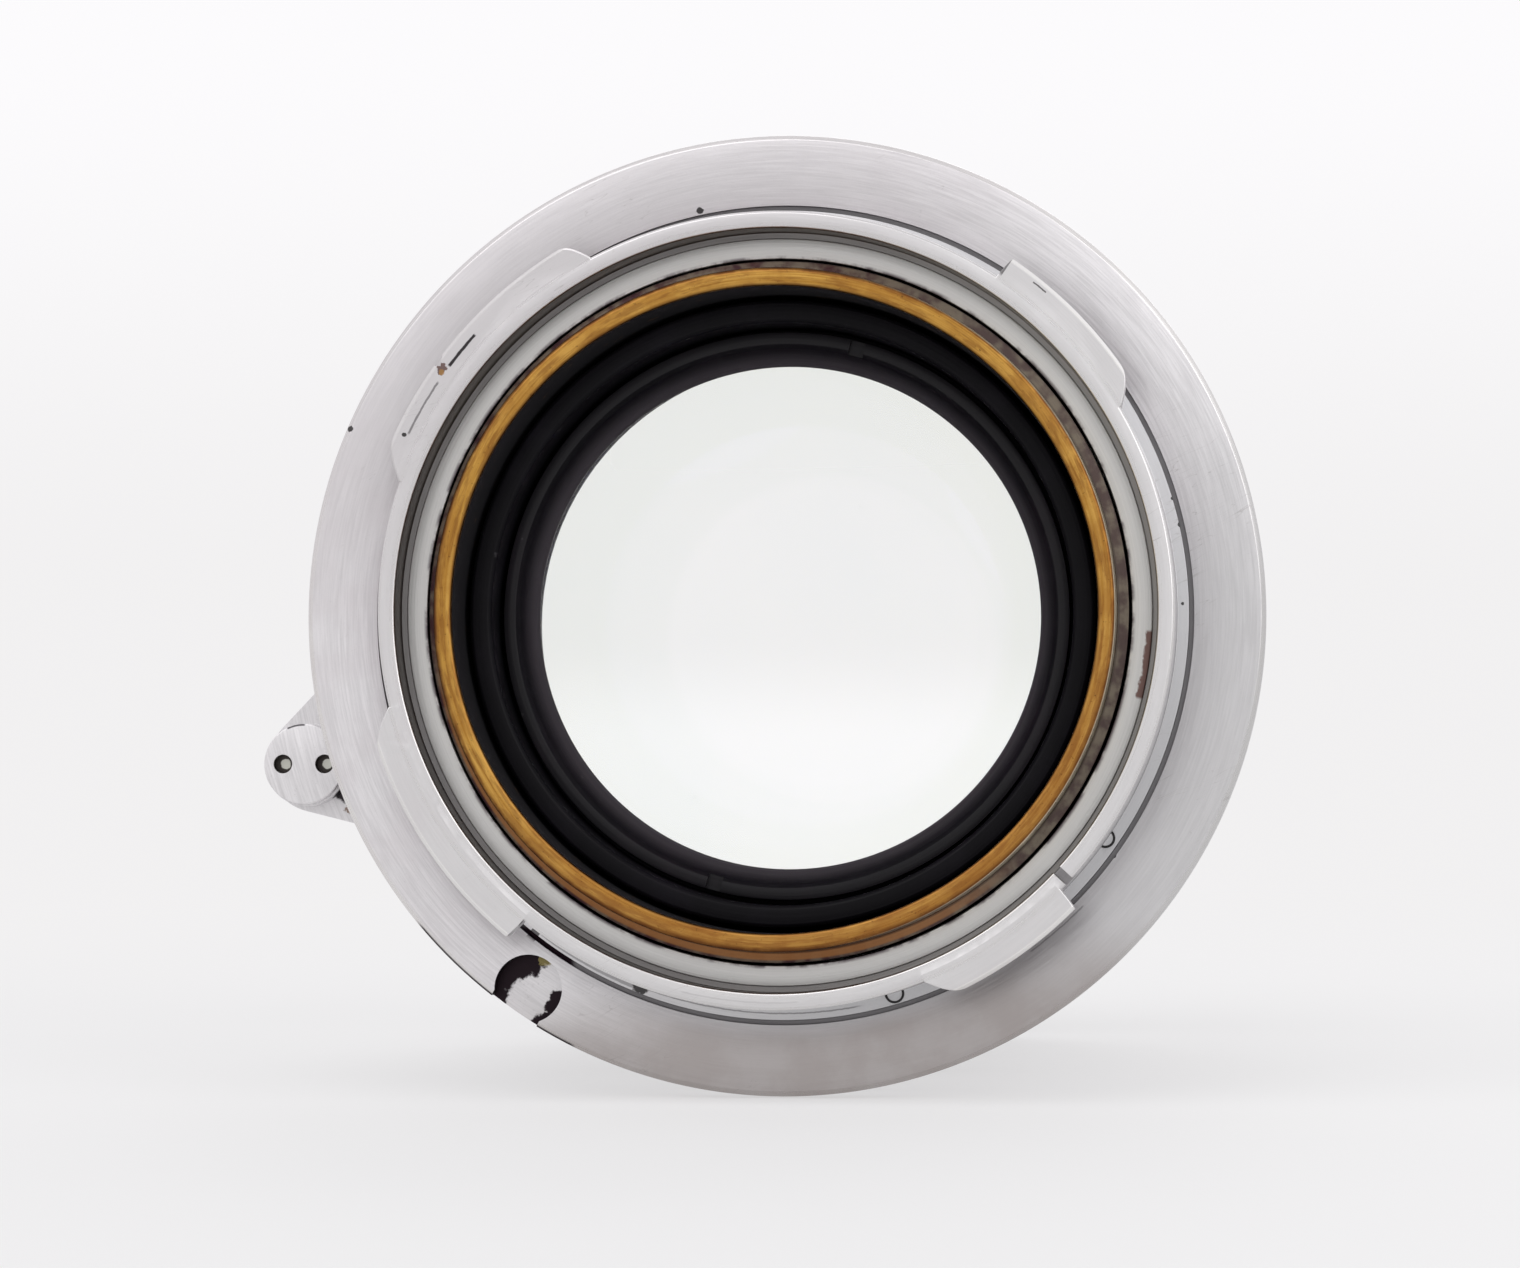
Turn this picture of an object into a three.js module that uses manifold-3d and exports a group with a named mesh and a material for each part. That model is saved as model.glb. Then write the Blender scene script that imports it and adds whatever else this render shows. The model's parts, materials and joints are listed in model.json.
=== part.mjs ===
// A fast standard lens with a bayonet mount, built in millimetres.
// The optical axis runs along +Y, from the bayonet to the front glass, and +Z is up.
// The origin is the centre of the face that rests on the camera. Angles are counted from
// +X towards +Z, anticlockwise as the lens is seen from behind.
import * as THREE from "three";
import { mergeVertices } from "three/addons/utils/BufferGeometryUtils.js";
import Module from "manifold-3d";

const wasm = await Module();
wasm.setup();

const degrees = THREE.MathUtils.degToRad;

// Counts of sides round the rings, screws and glasses
const OUTER_SIDES = 48;
const INNER_SIDES = 32;
const GLASS_SIDES = 24;
const SCREW_SIDES = 10;
const PIN_SIDES = 6;
const GLASS_STEPS = 3;

// Clearances
const seatGap = 0.3;
const runGap = 0.3;
const pinGap = 0.15;
const cementGap = 0.1;
const overrun = 0.5;
const edgeBreak = 0.25;

// Bayonet flange
const flangeWidth = 4.6;
const flangeThickness = 2.0;
const tubeWall = 0.9;
const tubeLength = 5.2;
const lugHeight = 1.2;
const lugThickness = 1.4;
const lugRootDepth = 0.4;
const grooveInset = 0.6;
const grooveWidth = 0.26;
const grooveDepth = 0.4;
const lockRecessRadius = 1.8;
const lockRecessInset = 1.45;
const lockRecessDepth = 1.2;
const lockRecessAngle = degrees(235.6);
const keySlotWidth = 0.9;
const keySlotDepth = 2.0;
const keySlotAngle = degrees(317.2);

// Each lug runs from its start to its end, and its ramps are the slopes at those ends
const lugs = [
  { start: degrees(30), end: degrees(56), startRamp: degrees(5), endRamp: degrees(0.6) },
  { start: degrees(115), end: degrees(161), startRamp: degrees(6), endRamp: degrees(6) },
  { start: degrees(194), end: degrees(231), startRamp: degrees(6), endRamp: degrees(0.6) },
  { start: degrees(292), end: degrees(315.6), startRamp: degrees(5), endRamp: degrees(0.6) },
];

// Fixed sleeve that carries the focus ring and guides the head
const sleeveWall = 1.1;
const sleeveRear = -2.9;
const shoulderWidth = 2.9;
const shoulderThickness = 1.6;

// Depth scale ring
const scaleRingWall = 2.2;
const scaleRingTaper = 0.4;
const scaleRingFront = 6.0;
const scaleRingRim = 0.6;

// Flange screws
const flangeScrewCount = 4;
const flangeScrewAngle = degrees(45);
const flangeScrewRadius = 0.6;
const flangeScrewHeadRadius = 1.0;
const flangeScrewHeadHeight = 0.9;
const flangeScrewDepth = 1.4;

// Alignment bead
const beadRadius = 0.9;
const beadAngle = degrees(64);
const beadStand = 0.5;
const beadDepth = 1.3;

// Focus ring and its retaining ring
const focusSkirtWall = 1.4;
const focusCollarFront = 13.3;
const focusFlutes = 20;
const focusFluteDepth = 0.5;
const focusGripInset = 4.0;
const focusGripLength = 5.3;
const focusGripSink = 0.6;
const retainingRingThickness = 1.3;
const retainingRingWall = 2.5;

// Focus travel
const focusLead = 9.1;
const focusToInfinity = degrees(67);
const focusToNear = degrees(38);

// Follower pins that tie the head to the focus ring
const followerAngles = [degrees(60), degrees(240)];
const followerShankRadius = 0.8;
const followerHeadRadius = 1.2;
const followerGrip = 1.4;
const cornerSpareAngle = degrees(1);

// Focus lever
const leverAngle = degrees(196.3);
const leverInset = 0.5;
const leverHeight = 2.2;
const leverFlare = degrees(13);
const leverThickness = 1.2;
const leverScrewAngle = degrees(10.8);
const leverScrewRadius = 0.5;
const leverScrewHeadRadius = 0.7;
const leverScrewHeadHeight = 0.3;
const leverScrewDepth = 1.6;
const bossRadius = 2.25;
const bossRearStand = 1.2;
const bossFrontStand = 1.4;
const bossRoof = 1.0;
const armSpread = degrees(31);
const chamberRadius = 1.5;

// Lever nut
const nutRadius = 2.15;
const nutThickness = 0.8;
const spigotLength = 0.5;
const spannerHoleRadius = 0.5;
const spannerHoleReach = 1.13;
const spannerHoleDepth = 0.6;

// Lock button and its spring
const buttonRadius = 1.65;
const buttonTravel = 1.2;
const buttonThickness = 1.1;
const buttonDome = 0.5;
const stemRadius = 0.6;
const collarThickness = 0.7;
const tongueWidth = 1.4;
const tongueThickness = 0.8;
const springRadius = 0.9;
const springWire = 0.22;
const springTurns = 4;
const SPRING_STEPS = 8;
const SPRING_SIDES = 5;

// Infinity catch
const catchThickness = 0.5;
const catchWidth = 2.4;
const catchInset = 0.9;
const catchBarHeight = 1.2;
const catchScrewRadius = 0.5;
const catchScrewHeadRadius = 0.8;
const catchScrewHeadHeight = 0.3;
const catchScrewDepth = 1.2;

// Brass coupling barrel
const barrelRear = -5.8;
const barrelWall = 1.35;
const barrelRimWall = 0.95;
const barrelStep = -3.2;

// Head shell
const shellWebThickness = 1.7;
const shellWall = 0.9;

// Rear cell
const rearCellRear = -1.2;
const rearMouthWall = 1.15;
const rearMouthStep = 1.0;
const rearMouthDepth = 4.6;
const rearNoseWall = 1.7;
const rearSeatStep = 1.4;
const rearCellLip = 0.1;
const rearCellLand = 0.43;
const cellShoulderThickness = 1.2;

// Glasses: each has its thickness on the axis and its two radii of curvature.
// A radius is positive where the face bulges towards the rear. A deep hollow face stops at a
// flat rim, whose width follows it.
const rearGlassHalf = 14.0;
const rearAirGap = 0.4;
const frontAirGap = 0.4;
const rearGlassShape = { thickness: 4.4, rearCurve: 44, frontCurve: -95 };
const rearInnerShape = { thickness: 6.6, rearCurve: 23.6, frontCurve: -110 };
const rearFlintShape = { thickness: 1.8, rearCurve: -110, frontCurve: 16.4, frontRim: 1.5 };
const frontFlintShape = { thickness: 1.8, rearCurve: -15.4, frontCurve: -62, rearRim: 2.9 };
const frontInnerShape = { thickness: 5.2, rearCurve: -62, frontCurve: -21.8 };
const frontGlassShape = { thickness: 4.4, rearCurve: -150, frontCurve: -40 };

// Rings that hold the glasses
const ledgeThickness = 0.8;
const rearRingWall = 0.7;
const rearRingFlareStep = 1.1;
const rearRingInset = 2.7;
const rearRingBoreLength = 2.0;
const innerRingWall = 1.2;
const innerRingThickness = 0.8;
const spacerWall = 0.8;
const frontRingWall = 1.0;
const frontRingThickness = 1.5;
const frontRingRise = 0.9;

// Iris
const bladeCount = 10;
const bladeThickness = 0.08;
const bladeWidth = 5.4;
const bladeSpan = degrees(90);
const bladeTaper = degrees(45);
const bladeTaperShare = 0.75;
const bladeHeel = degrees(4);
const BLADE_STEPS = 7;
const bladeClimb = 1.69;
const pivotRadius = 0.35;
const earRadius = 0.8;
const drivePinInset = 2.5;
const drivePinAngle = degrees(16);
const drivePinRadius = 0.35;
const smallestOpening = 1.05;
const apertureTurn = degrees(42);

// Iris housing
const housingWall = 0.8;
const housingOverlap = 1.8;
const pivotPlateThickness = 0.8;
const pivotPlateLand = 0.9;

// Cam ring
const camRingThickness = 1.1;
const camSkirtClearance = 0.9;
const camSkirtWall = 1.1;
const camSkirtLength = 1.8;
const CAM_SLOT_STEPS = 5;

// Aperture ring and the screw that joins it to the cam ring
const apertureRingWall = 2.2;
const apertureRingLength = 9.9;
const apertureFlutes = 24;
const apertureFluteDepth = 0.45;
const apertureGripRim = 0.8;
const apertureGripLength = 4.3;
const apertureGripSink = 0.5;
const driveScrewAngle = degrees(320);
const driveScrewInset = 0.75;
const driveScrewRimInset = 1.35;
const driveScrewRadius = 0.55;
const driveScrewHeadRadius = 0.95;
const driveScrewSink = 1.3;
const driveScrewHeadHeight = 0.9;
const driveScrewEntry = 0.7;

// Front cell
const frontPlateThickness = 0.5;
const frontCellFlangeThickness = 2.1;
const frontCellWall = 1.9;
const frontSeatStep = 2.4;
const frontCellLip = 2.1;

// Front sleeve with the filter thread, and the trim ring inside it
const frontSleeveWall = 1.7;
const frontRimStand = 0.3;
const filterWall = 1.8;
const filterDepth = 5.3;
const frontWebThickness = 1.2;
const frontWebReach = 1.1;
const trimSlope = 0.3;
const trimRise = 1.4;
const trimWall = 0.8;

// Radii of the head and the sleeve, from the rear glass outwards
const rearMouthRadius = rearGlassHalf + seatGap + rearMouthStep;
const rearCellRadius = rearMouthRadius + rearMouthWall;
const barrelBore = rearCellRadius + seatGap;
const barrelRadius = barrelBore + barrelWall;
const barrelRearRadius = barrelBore + barrelRimWall;
const sleeveBore = barrelRadius + runGap;
const sleeveRadius = sleeveBore + sleeveWall;
const retainingRingRadius = sleeveRadius + seatGap + retainingRingWall;
const shellRearRadius = retainingRingRadius + runGap;

// Fixed pieces
const boreRadius = sleeveRadius + seatGap;
const tubeRadius = boreRadius + tubeWall;
const lugRadius = tubeRadius + lugHeight;
const flangeRadius = tubeRadius + flangeWidth;
const grooveInnerRadius = tubeRadius + grooveInset;
const grooveOuterRadius = grooveInnerRadius + grooveWidth;
const lockRecessReach = flangeRadius - lockRecessInset;
const shoulderFront = flangeThickness + shoulderThickness;
const shoulderRadius = sleeveRadius + shoulderWidth;
const flangeScrewReach = (sleeveRadius + shoulderRadius) / 2;
const scaleRingBore = shoulderRadius + seatGap;
const scaleRingRadius = scaleRingBore + scaleRingWall;
const scaleRingFrontRadius = scaleRingRadius - scaleRingTaper;
const scaleRingMiddle = (flangeThickness + scaleRingFront) / 2;
const retainingRingRear = focusCollarFront + runGap;
const sleeveFront = retainingRingRear + retainingRingThickness;

// Focus ring and follower pins
const leadPerRadian = focusLead / (2 * Math.PI);
const travelToInfinity = leadPerRadian * focusToInfinity;
const travelToNear = leadPerRadian * focusToNear;
const focusRingRear = scaleRingFront + runGap;
const focusRingBore = sleeveRadius + runGap;
const focusSkirtBore = shellRearRadius + runGap;
const focusRingRadius = focusSkirtBore + focusSkirtWall;
const focusGripRoot = focusRingRadius - focusGripSink;
const focusGripRear = focusRingRear + focusGripInset;
const focusGripFront = focusGripRear + focusGripLength;
const followerPlace = (focusRingRear + focusCollarFront + travelToInfinity - travelToNear) / 2;
const followerHeadEnd = focusRingBore + followerGrip;

// Lever, nut, button and catch
const leverRear = focusRingRear + leverInset;
const leverFront = leverRear + leverHeight;
const leverMiddle = (leverRear + leverFront) / 2;
const leverSeat = focusRingRadius + seatGap;
const leverReach = scaleRingRadius + bossRadius + runGap;
const bossRear = leverRear - bossRearStand;
const bossFront = leverFront + bossFrontStand;
const chamberFront = bossFront - bossRoof;
const spigotRadius = chamberRadius - seatGap;
const collarRadius = chamberRadius - runGap;
const buttonRear = bossFront + runGap + buttonTravel;
const tongueEnd = focusRingRadius + runGap + pinGap;
const catchInnerRadius = scaleRingRadius + pinGap;
const catchOuterRadius = catchInnerRadius + catchThickness;
const catchRear = flangeThickness + catchInset;
const catchBarRear = buttonRear - runGap;
const catchBarFront = catchBarRear + catchBarHeight;
const catchScrewSeat = catchOuterRadius - catchScrewHeadHeight;

// Radii of the iris and of what surrounds it, from the rear cell's nose outwards
const rearInnerHalf = rearGlassHalf - rearSeatStep;
const rearNoseRadius = rearInnerHalf + seatGap + rearNoseWall;
const camSkirtBore = rearNoseRadius + camSkirtClearance;
const camRingRadius = camSkirtBore + camSkirtWall;
const pivotPlateBore = camRingRadius + runGap;
const pivotReach = pivotPlateBore + pivotPlateLand;
const drivePinReach = pivotReach - drivePinInset;
const bladeOuterRadius = pivotReach - earRadius - 2 * runGap;
const bladeInnerRadius = bladeOuterRadius - bladeWidth;
const camRingBore = bladeInnerRadius + runGap;
const housingBore = pivotReach + earRadius + runGap;
const housingRadius = housingBore + housingWall;
const frontCellRadius = housingBore - seatGap;
const shellBore = housingRadius + seatGap;
const shellRadius = shellBore + shellWall;
const apertureRingBore = shellRadius + runGap;
const apertureRingRadius = apertureRingBore + apertureRingWall;
const apertureGripRoot = apertureRingRadius - apertureGripSink;
const frontSleeveBore = shellRadius + seatGap;
const frontSleeveRadius = frontSleeveBore + frontSleeveWall;
const frontRimRadius = frontSleeveRadius + frontRimStand;
const filterBore = frontRimRadius - filterWall;
const frontWebBore = housingRadius - frontWebReach;
const trimOuterRadius = frontWebBore - seatGap;
const frontGlassHalf = frontCellRadius - frontCellWall - seatGap;
const frontInnerHalf = frontGlassHalf - frontSeatStep;
const trimInnerRadius = frontGlassHalf + seatGap;

// Bores of the rings that hold the glasses
const rearRingBore = rearGlassHalf - rearRingWall;
const rearRingFlare = rearRingBore + rearRingFlareStep;
const innerRingBore = rearInnerHalf - innerRingWall;
const spacerBore = frontInnerHalf - spacerWall;
const frontRingBore = frontGlassHalf - frontRingWall;

// Rear half of the head, from the barrel forwards
const barrelFront = sleeveFront + travelToInfinity + runGap;
const shellWebFront = barrelFront + shellWebThickness;
const shoulderSeat = shellWebFront + cellShoulderThickness;
const rearNoseRear = shoulderSeat + rearCellLand;
const camSkirtRear = rearNoseRear + 2 * runGap;
const camRingRear = camSkirtRear + camSkirtLength;
const rearCellFront = camRingRear - runGap;
const innerRingRear = rearCellFront - rearCellLip - innerRingThickness;

// Rear glasses, from the ring in front of them backwards
const rearFlintGlass = placedBehind(rearFlintShape, rearInnerHalf, innerRingRear - seatGap
  - sag(rearFlintShape.frontCurve, rearInnerHalf - rearFlintShape.frontRim));
const rearInnerGlass = placedBehind(rearInnerShape, rearInnerHalf, rearFlintGlass.rear - cementGap);
const rearGlass = placedBehind(rearGlassShape, rearGlassHalf, rearInnerGlass.rear - rearAirGap);

// Iris, and the aperture ring over it
const camRingFront = camRingRear + camRingThickness;
const pivotPlateFront = camRingFront;
const pivotPlateRear = pivotPlateFront - pivotPlateThickness;
const pivotEnd = pivotPlateRear + pinGap;
const drivePinEnd = camRingRear + pinGap;
const bladeRear = pivotPlateFront + runGap;
const bladeFront = bladeRear + bladeClimb + bladeThickness;
const bladeTurn = 2 * Math.asin((bladeInnerRadius - smallestOpening) / (2 * pivotReach));
const driveScrewPlace = camRingRear - driveScrewInset;
const driveScrewHeadSeat = apertureRingRadius - driveScrewSink;
const apertureRingRear = driveScrewPlace - driveScrewRimInset;
const apertureRingFront = apertureRingRear + apertureRingLength;
const apertureGripFront = apertureRingFront - apertureGripRim;
const apertureGripRear = apertureGripFront - apertureGripLength;
const shellRearFront = apertureRingRear - runGap;
const focusSkirtFront = apertureRingRear - travelToInfinity - 2 * runGap;

// Front half of the head
const frontCellRear = bladeFront + pinGap;
const housingFront = frontCellRear + housingOverlap;
const frontPlateFront = frontCellRear + frontPlateThickness;
const frontFlintGlass = placed(
  frontFlintShape, frontInnerHalf,
  frontPlateFront + pinGap - sag(frontFlintShape.rearCurve, frontInnerHalf - frontFlintShape.rearRim));
const frontInnerGlass = placed(frontInnerShape, frontInnerHalf, frontFlintGlass.front + cementGap);
const frontGlass = placed(frontGlassShape, frontGlassHalf, frontInnerGlass.front + frontAirGap);
const frontCellFront = edgeFront(frontGlass) + frontCellLip;
const shellFront = frontCellFront + pinGap;
const frontWebFront = shellFront + frontWebThickness;
const frontRim = frontWebFront + filterDepth;

// Finishes
const chrome = { color: 0xc9c7c6, roughness: 0.38, metalness: 1.0 };
const greyMetal = { color: 0xb9bab6, roughness: 0.45, metalness: 1.0 };
const brass = { color: 0xb98a3e, roughness: 0.35, metalness: 1.0 };
const black = { color: 0x1c1b1e, roughness: 0.5, metalness: 0.2 };
const steel = { color: 0x8f9094, roughness: 0.3, metalness: 1.0 };
const bladeSteel = { color: 0x3a3b40, roughness: 0.4, metalness: 0.8 };
const redEnamel = { color: 0xa3201c, roughness: 0.3, metalness: 0.0 };
const glass = { color: 0xdfe6ee, roughness: 0.02, metalness: 0.0, transparent: true, opacity: 0.35 };

const lens = new THREE.Group();

// Adds a named mesh to the lens
function addPart(name, geometry, finish, parent = lens) {
  const mesh = new THREE.Mesh(geometry, new THREE.MeshStandardMaterial(finish));
  mesh.name = name;
  parent.add(mesh);
  return mesh;
}

// A closed geometry as a solid that can be joined and cut
function toSolid(geometry) {
  const bare = geometry.clone();
  bare.deleteAttribute("normal");
  bare.deleteAttribute("uv");
  const merged = mergeVertices(bare);
  return new wasm.Manifold(new wasm.Mesh({
    numProp: 3,
    vertProperties: merged.attributes.position.array,
    triVerts: new Uint32Array(merged.index.array),
  }));
}

// A solid back as a geometry
function toGeometry(solid) {
  const mesh = solid.getMesh();
  const geometry = new THREE.BufferGeometry();
  geometry.setAttribute("position", new THREE.BufferAttribute(mesh.vertProperties, 3));
  geometry.setIndex(new THREE.BufferAttribute(mesh.triVerts, 1));
  geometry.computeVertexNormals();
  return geometry;
}

function join(geometry, ...additions) {
  return toGeometry(additions.reduce((solid, piece) => solid.add(toSolid(piece)), toSolid(geometry)));
}

function cut(geometry, ...cutters) {
  return toGeometry(cutters.reduce((solid, piece) => solid.subtract(toSolid(piece)), toSolid(geometry)));
}

// A ring turned about the optical axis from its section's [radius, place] corners
function turnedRing(corners, sides) {
  const points = corners.map(([radius, place]) => new THREE.Vector2(radius, place));
  if (THREE.ShapeUtils.isClockWise(points)) points.reverse();
  return new THREE.LatheGeometry([...points, points[0]], sides);
}

// A plain ring between two radii and two places
function plainRing(inner, outer, rear, front, sides) {
  return turnedRing([[inner, rear], [outer, rear], [outer, front], [inner, front]], sides);
}

// A solid turned about the optical axis, whose section starts and ends on the axis
function turnedSolid(corners, sides) {
  const points = corners.map(([radius, place]) => new THREE.Vector2(radius, place));
  return new THREE.LatheGeometry(points, sides);
}

// Turns a geometry from +X to an angle seen from behind
function turnTo(geometry, angle) {
  return geometry.rotateY(-angle);
}

// A pin along a radius of the lens: [radius, distance from the axis] corners from its inner end
function radialPin(corners, angle, place, sides = SCREW_SIDES) {
  const pin = turnedSolid(corners, sides).rotateZ(-Math.PI / 2).translate(0, place, 0);
  return turnTo(pin, angle);
}

// A straight radial hole's cutter
function radialCutter(radius, from, to, angle, place) {
  return radialPin([[0, from], [radius, from], [radius, to], [0, to]], angle, place);
}

// A straight cylinder along the optical axis, away from the axis
function axialCylinder(radius, rear, front, reach, angle, sides = SCREW_SIDES) {
  const corners = [[0, rear], [radius, rear], [radius, front], [0, front]];
  return turnTo(turnedSolid(corners, sides).translate(reach, 0, 0), angle);
}

// A flat outline in the X-Z plane, thickened from its rear place to its front place
function thickened(shape, rear, front) {
  const depth = front - rear;
  const geometry = new THREE.ExtrudeGeometry(shape, { depth, bevelEnabled: false, curveSegments: 1 });
  return geometry.rotateX(Math.PI / 2).translate(0, front, 0);
}

function polar(radius, angle) {
  return new THREE.Vector2(radius * Math.cos(angle), radius * Math.sin(angle));
}

function turned(point, angle) {
  return point.clone().rotateAround(new THREE.Vector2(), angle);
}

// A circle as a closed path, for holes in an outline
function circlePath(radius, sides, centre = new THREE.Vector2()) {
  const points = Array.from({ length: sides }, (_, i) =>
    polar(radius, (2 * Math.PI * i) / sides).add(centre));
  return new THREE.Path(points);
}

// A bar through a row of four-cornered sections, closed at both ends
function barThrough(sections) {
  const positions = sections.flat(2);
  const faces = [];
  for (let i = 0; i < sections.length - 1; i++) {
    for (let side = 0; side < 4; side++) {
      const a = 4 * i + side;
      const b = 4 * i + ((side + 1) % 4);
      faces.push(a, b + 4, b, a, a + 4, b + 4);
    }
  }
  const last = 4 * (sections.length - 1);
  faces.push(0, 1, 2, 0, 2, 3, last, last + 2, last + 1, last, last + 3, last + 2);
  const geometry = new THREE.BufferGeometry();
  geometry.setAttribute("position", new THREE.Float32BufferAttribute(positions, 3));
  geometry.setIndex(faces);
  return geometry;
}

// A four-cornered section at an angle: inner and outer radius, rear and front place
function sectionAt(angle, inner, outer, rear, front) {
  const near = polar(inner, angle);
  const far = polar(outer, angle);
  return [[near.x, rear, near.y], [near.x, front, near.y], [far.x, front, far.y], [far.x, rear, far.y]];
}

// The outline of a slot of a given half width round a row of points, with round ends
function slotPath(points, halfWidth, endSteps = 4) {
  const heading = (i) => {
    const a = points[Math.max(i - 1, 0)];
    const b = points[Math.min(i + 1, points.length - 1)];
    return Math.atan2(b.y - a.y, b.x - a.x);
  };
  const offset = (i, angle) => polar(halfWidth, angle).add(points[i]);
  const outline = [];
  const last = points.length - 1;
  for (let i = 0; i < last; i++) outline.push(offset(i, heading(i) - Math.PI / 2));
  for (let step = 0; step <= endSteps; step++) {
    outline.push(offset(last, heading(last) - Math.PI / 2 + (Math.PI * step) / endSteps));
  }
  for (let i = last - 1; i > 0; i--) outline.push(offset(i, heading(i) + Math.PI / 2));
  for (let step = 0; step < endSteps; step++) {
    outline.push(offset(0, heading(0) + Math.PI / 2 + (Math.PI * step) / endSteps));
  }
  return new THREE.Path(outline);
}

// A ring whose outer edge has round flutes between flat ribs
function flutedRing(inner, outer, rear, front, flutes, depth) {
  const points = [];
  const steps = 3;
  const fluteShare = 0.62;
  for (let flute = 0; flute < flutes; flute++) {
    for (let step = 0; step <= steps; step++) {
      const along = step / steps;
      const angle = ((flute + fluteShare * along) * 2 * Math.PI) / flutes;
      points.push(polar(outer - depth * Math.sin(Math.PI * along), angle));
    }
  }
  const shape = new THREE.Shape(points);
  shape.holes.push(circlePath(inner, OUTER_SIDES));
  return thickened(shape, rear, front);
}

// Bayonet flange: register disc, tube, four lugs, lock recess and key slot
function bayonetFlange() {
  const body = turnedRing([
    [boreRadius, -tubeLength + edgeBreak], [boreRadius + edgeBreak, -tubeLength], [tubeRadius, -tubeLength],
    [tubeRadius, 0], [grooveInnerRadius, 0], [grooveInnerRadius, grooveDepth],
    [grooveOuterRadius, grooveDepth], [grooveOuterRadius, 0],
    [flangeRadius - edgeBreak, 0], [flangeRadius, edgeBreak], [flangeRadius, flangeThickness - edgeBreak],
    [flangeRadius - edgeBreak, flangeThickness], [boreRadius, flangeThickness],
  ], OUTER_SIDES);
  const lockRecess = axialCylinder(
    lockRecessRadius, -overrun, lockRecessDepth, lockRecessReach, lockRecessAngle, 2 * SCREW_SIDES);
  const keySlot = turnTo(
    new THREE.BoxGeometry(tubeRadius - boreRadius + 2 * overrun, keySlotDepth + overrun, keySlotWidth)
      .translate((tubeRadius + boreRadius) / 2, -tubeLength + (keySlotDepth - overrun) / 2, 0),
    keySlotAngle);
  const screwHoles = flangeScrewAngles().map((angle) => axialCylinder(
    flangeScrewRadius + pinGap, flangeThickness - flangeScrewDepth - pinGap, flangeThickness + overrun,
    flangeScrewReach, angle));
  return cut(join(body, ...lugs.map(lugBar)), lockRecess, keySlot, ...screwHoles);
}

// One lug, whose outer edge rises and falls along its ramps
function lugBar({ start, end, startRamp, endRamp }) {
  const rampSteps = 3;
  const middleSteps = 5;
  const rootRadius = tubeRadius - lugRootDepth;
  const rise = (share) => tubeRadius + (lugRadius - tubeRadius) * Math.sin((share * Math.PI) / 2);
  const rim = [];
  for (let i = 0; i <= rampSteps; i++) {
    rim.push([start + (startRamp * i) / rampSteps, rise(i / rampSteps)]);
  }
  for (let i = 1; i < middleSteps; i++) {
    rim.push([start + startRamp + ((end - endRamp - start - startRamp) * i) / middleSteps, lugRadius]);
  }
  for (let i = rampSteps; i >= 0; i--) {
    rim.push([end - (endRamp * i) / rampSteps, rise(i / rampSteps)]);
  }
  return barThrough(rim.map(([angle, radius]) =>
    sectionAt(angle, rootRadius, radius, -tubeLength, -tubeLength + lugThickness)));
}

function flangeScrewAngles() {
  return Array.from({ length: flangeScrewCount }, (_, i) =>
    flangeScrewAngle + (2 * Math.PI * i) / flangeScrewCount);
}

function flangeScrew() {
  const tip = flangeThickness - flangeScrewDepth;
  const headTop = shoulderFront + flangeScrewHeadHeight;
  return turnedSolid([
    [0, tip], [flangeScrewRadius, tip], [flangeScrewRadius, shoulderFront],
    [flangeScrewHeadRadius, shoulderFront], [flangeScrewHeadRadius, headTop], [0, headTop],
  ], SCREW_SIDES).translate(flangeScrewReach, 0, 0);
}

// Fixed sleeve: guides the head in its bore and keeps it from turning with two straight slots
function fixedSleeve() {
  const body = turnedRing([
    [sleeveBore, sleeveRear], [sleeveRadius, sleeveRear], [sleeveRadius, flangeThickness],
    [shoulderRadius, flangeThickness], [shoulderRadius, shoulderFront], [sleeveRadius, shoulderFront],
    [sleeveRadius, sleeveFront], [sleeveBore, sleeveFront],
  ], INNER_SIDES);
  const slotHalf = followerHeadRadius + pinGap;
  const slotRear = followerPlace - travelToInfinity - slotHalf - pinGap;
  const slotFront = followerPlace + travelToNear + slotHalf + pinGap;
  const slots = followerAngles.map((angle) => turnTo(
    new THREE.BoxGeometry(sleeveRadius - sleeveBore + 2 * overrun, slotFront - slotRear, 2 * slotHalf)
      .translate((sleeveRadius + sleeveBore) / 2, (slotFront + slotRear) / 2, 0),
    angle));
  const screwHoles = flangeScrewAngles().map((angle) => axialCylinder(
    flangeScrewRadius + pinGap, flangeThickness - overrun, shoulderFront + overrun, flangeScrewReach, angle));
  return cut(body, ...slots, ...screwHoles);
}

function depthScaleRing() {
  const body = turnedRing([
    [scaleRingBore, flangeThickness], [scaleRingRadius, flangeThickness],
    [scaleRingRadius, flangeThickness + scaleRingRim], [scaleRingFrontRadius, scaleRingFront],
    [scaleRingBore, scaleRingFront],
  ], OUTER_SIDES);
  const beadHole = radialCutter(
    beadRadius + pinGap, scaleRingRadius - beadDepth - seatGap, scaleRingRadius + overrun, beadAngle,
    scaleRingMiddle);
  const catchHole = radialCutter(
    catchScrewRadius + pinGap, scaleRingRadius - catchScrewDepth - pinGap, scaleRingRadius + overrun,
    catchAngle(), scaleRingMiddle);
  return cut(body, beadHole, catchHole);
}

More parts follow.
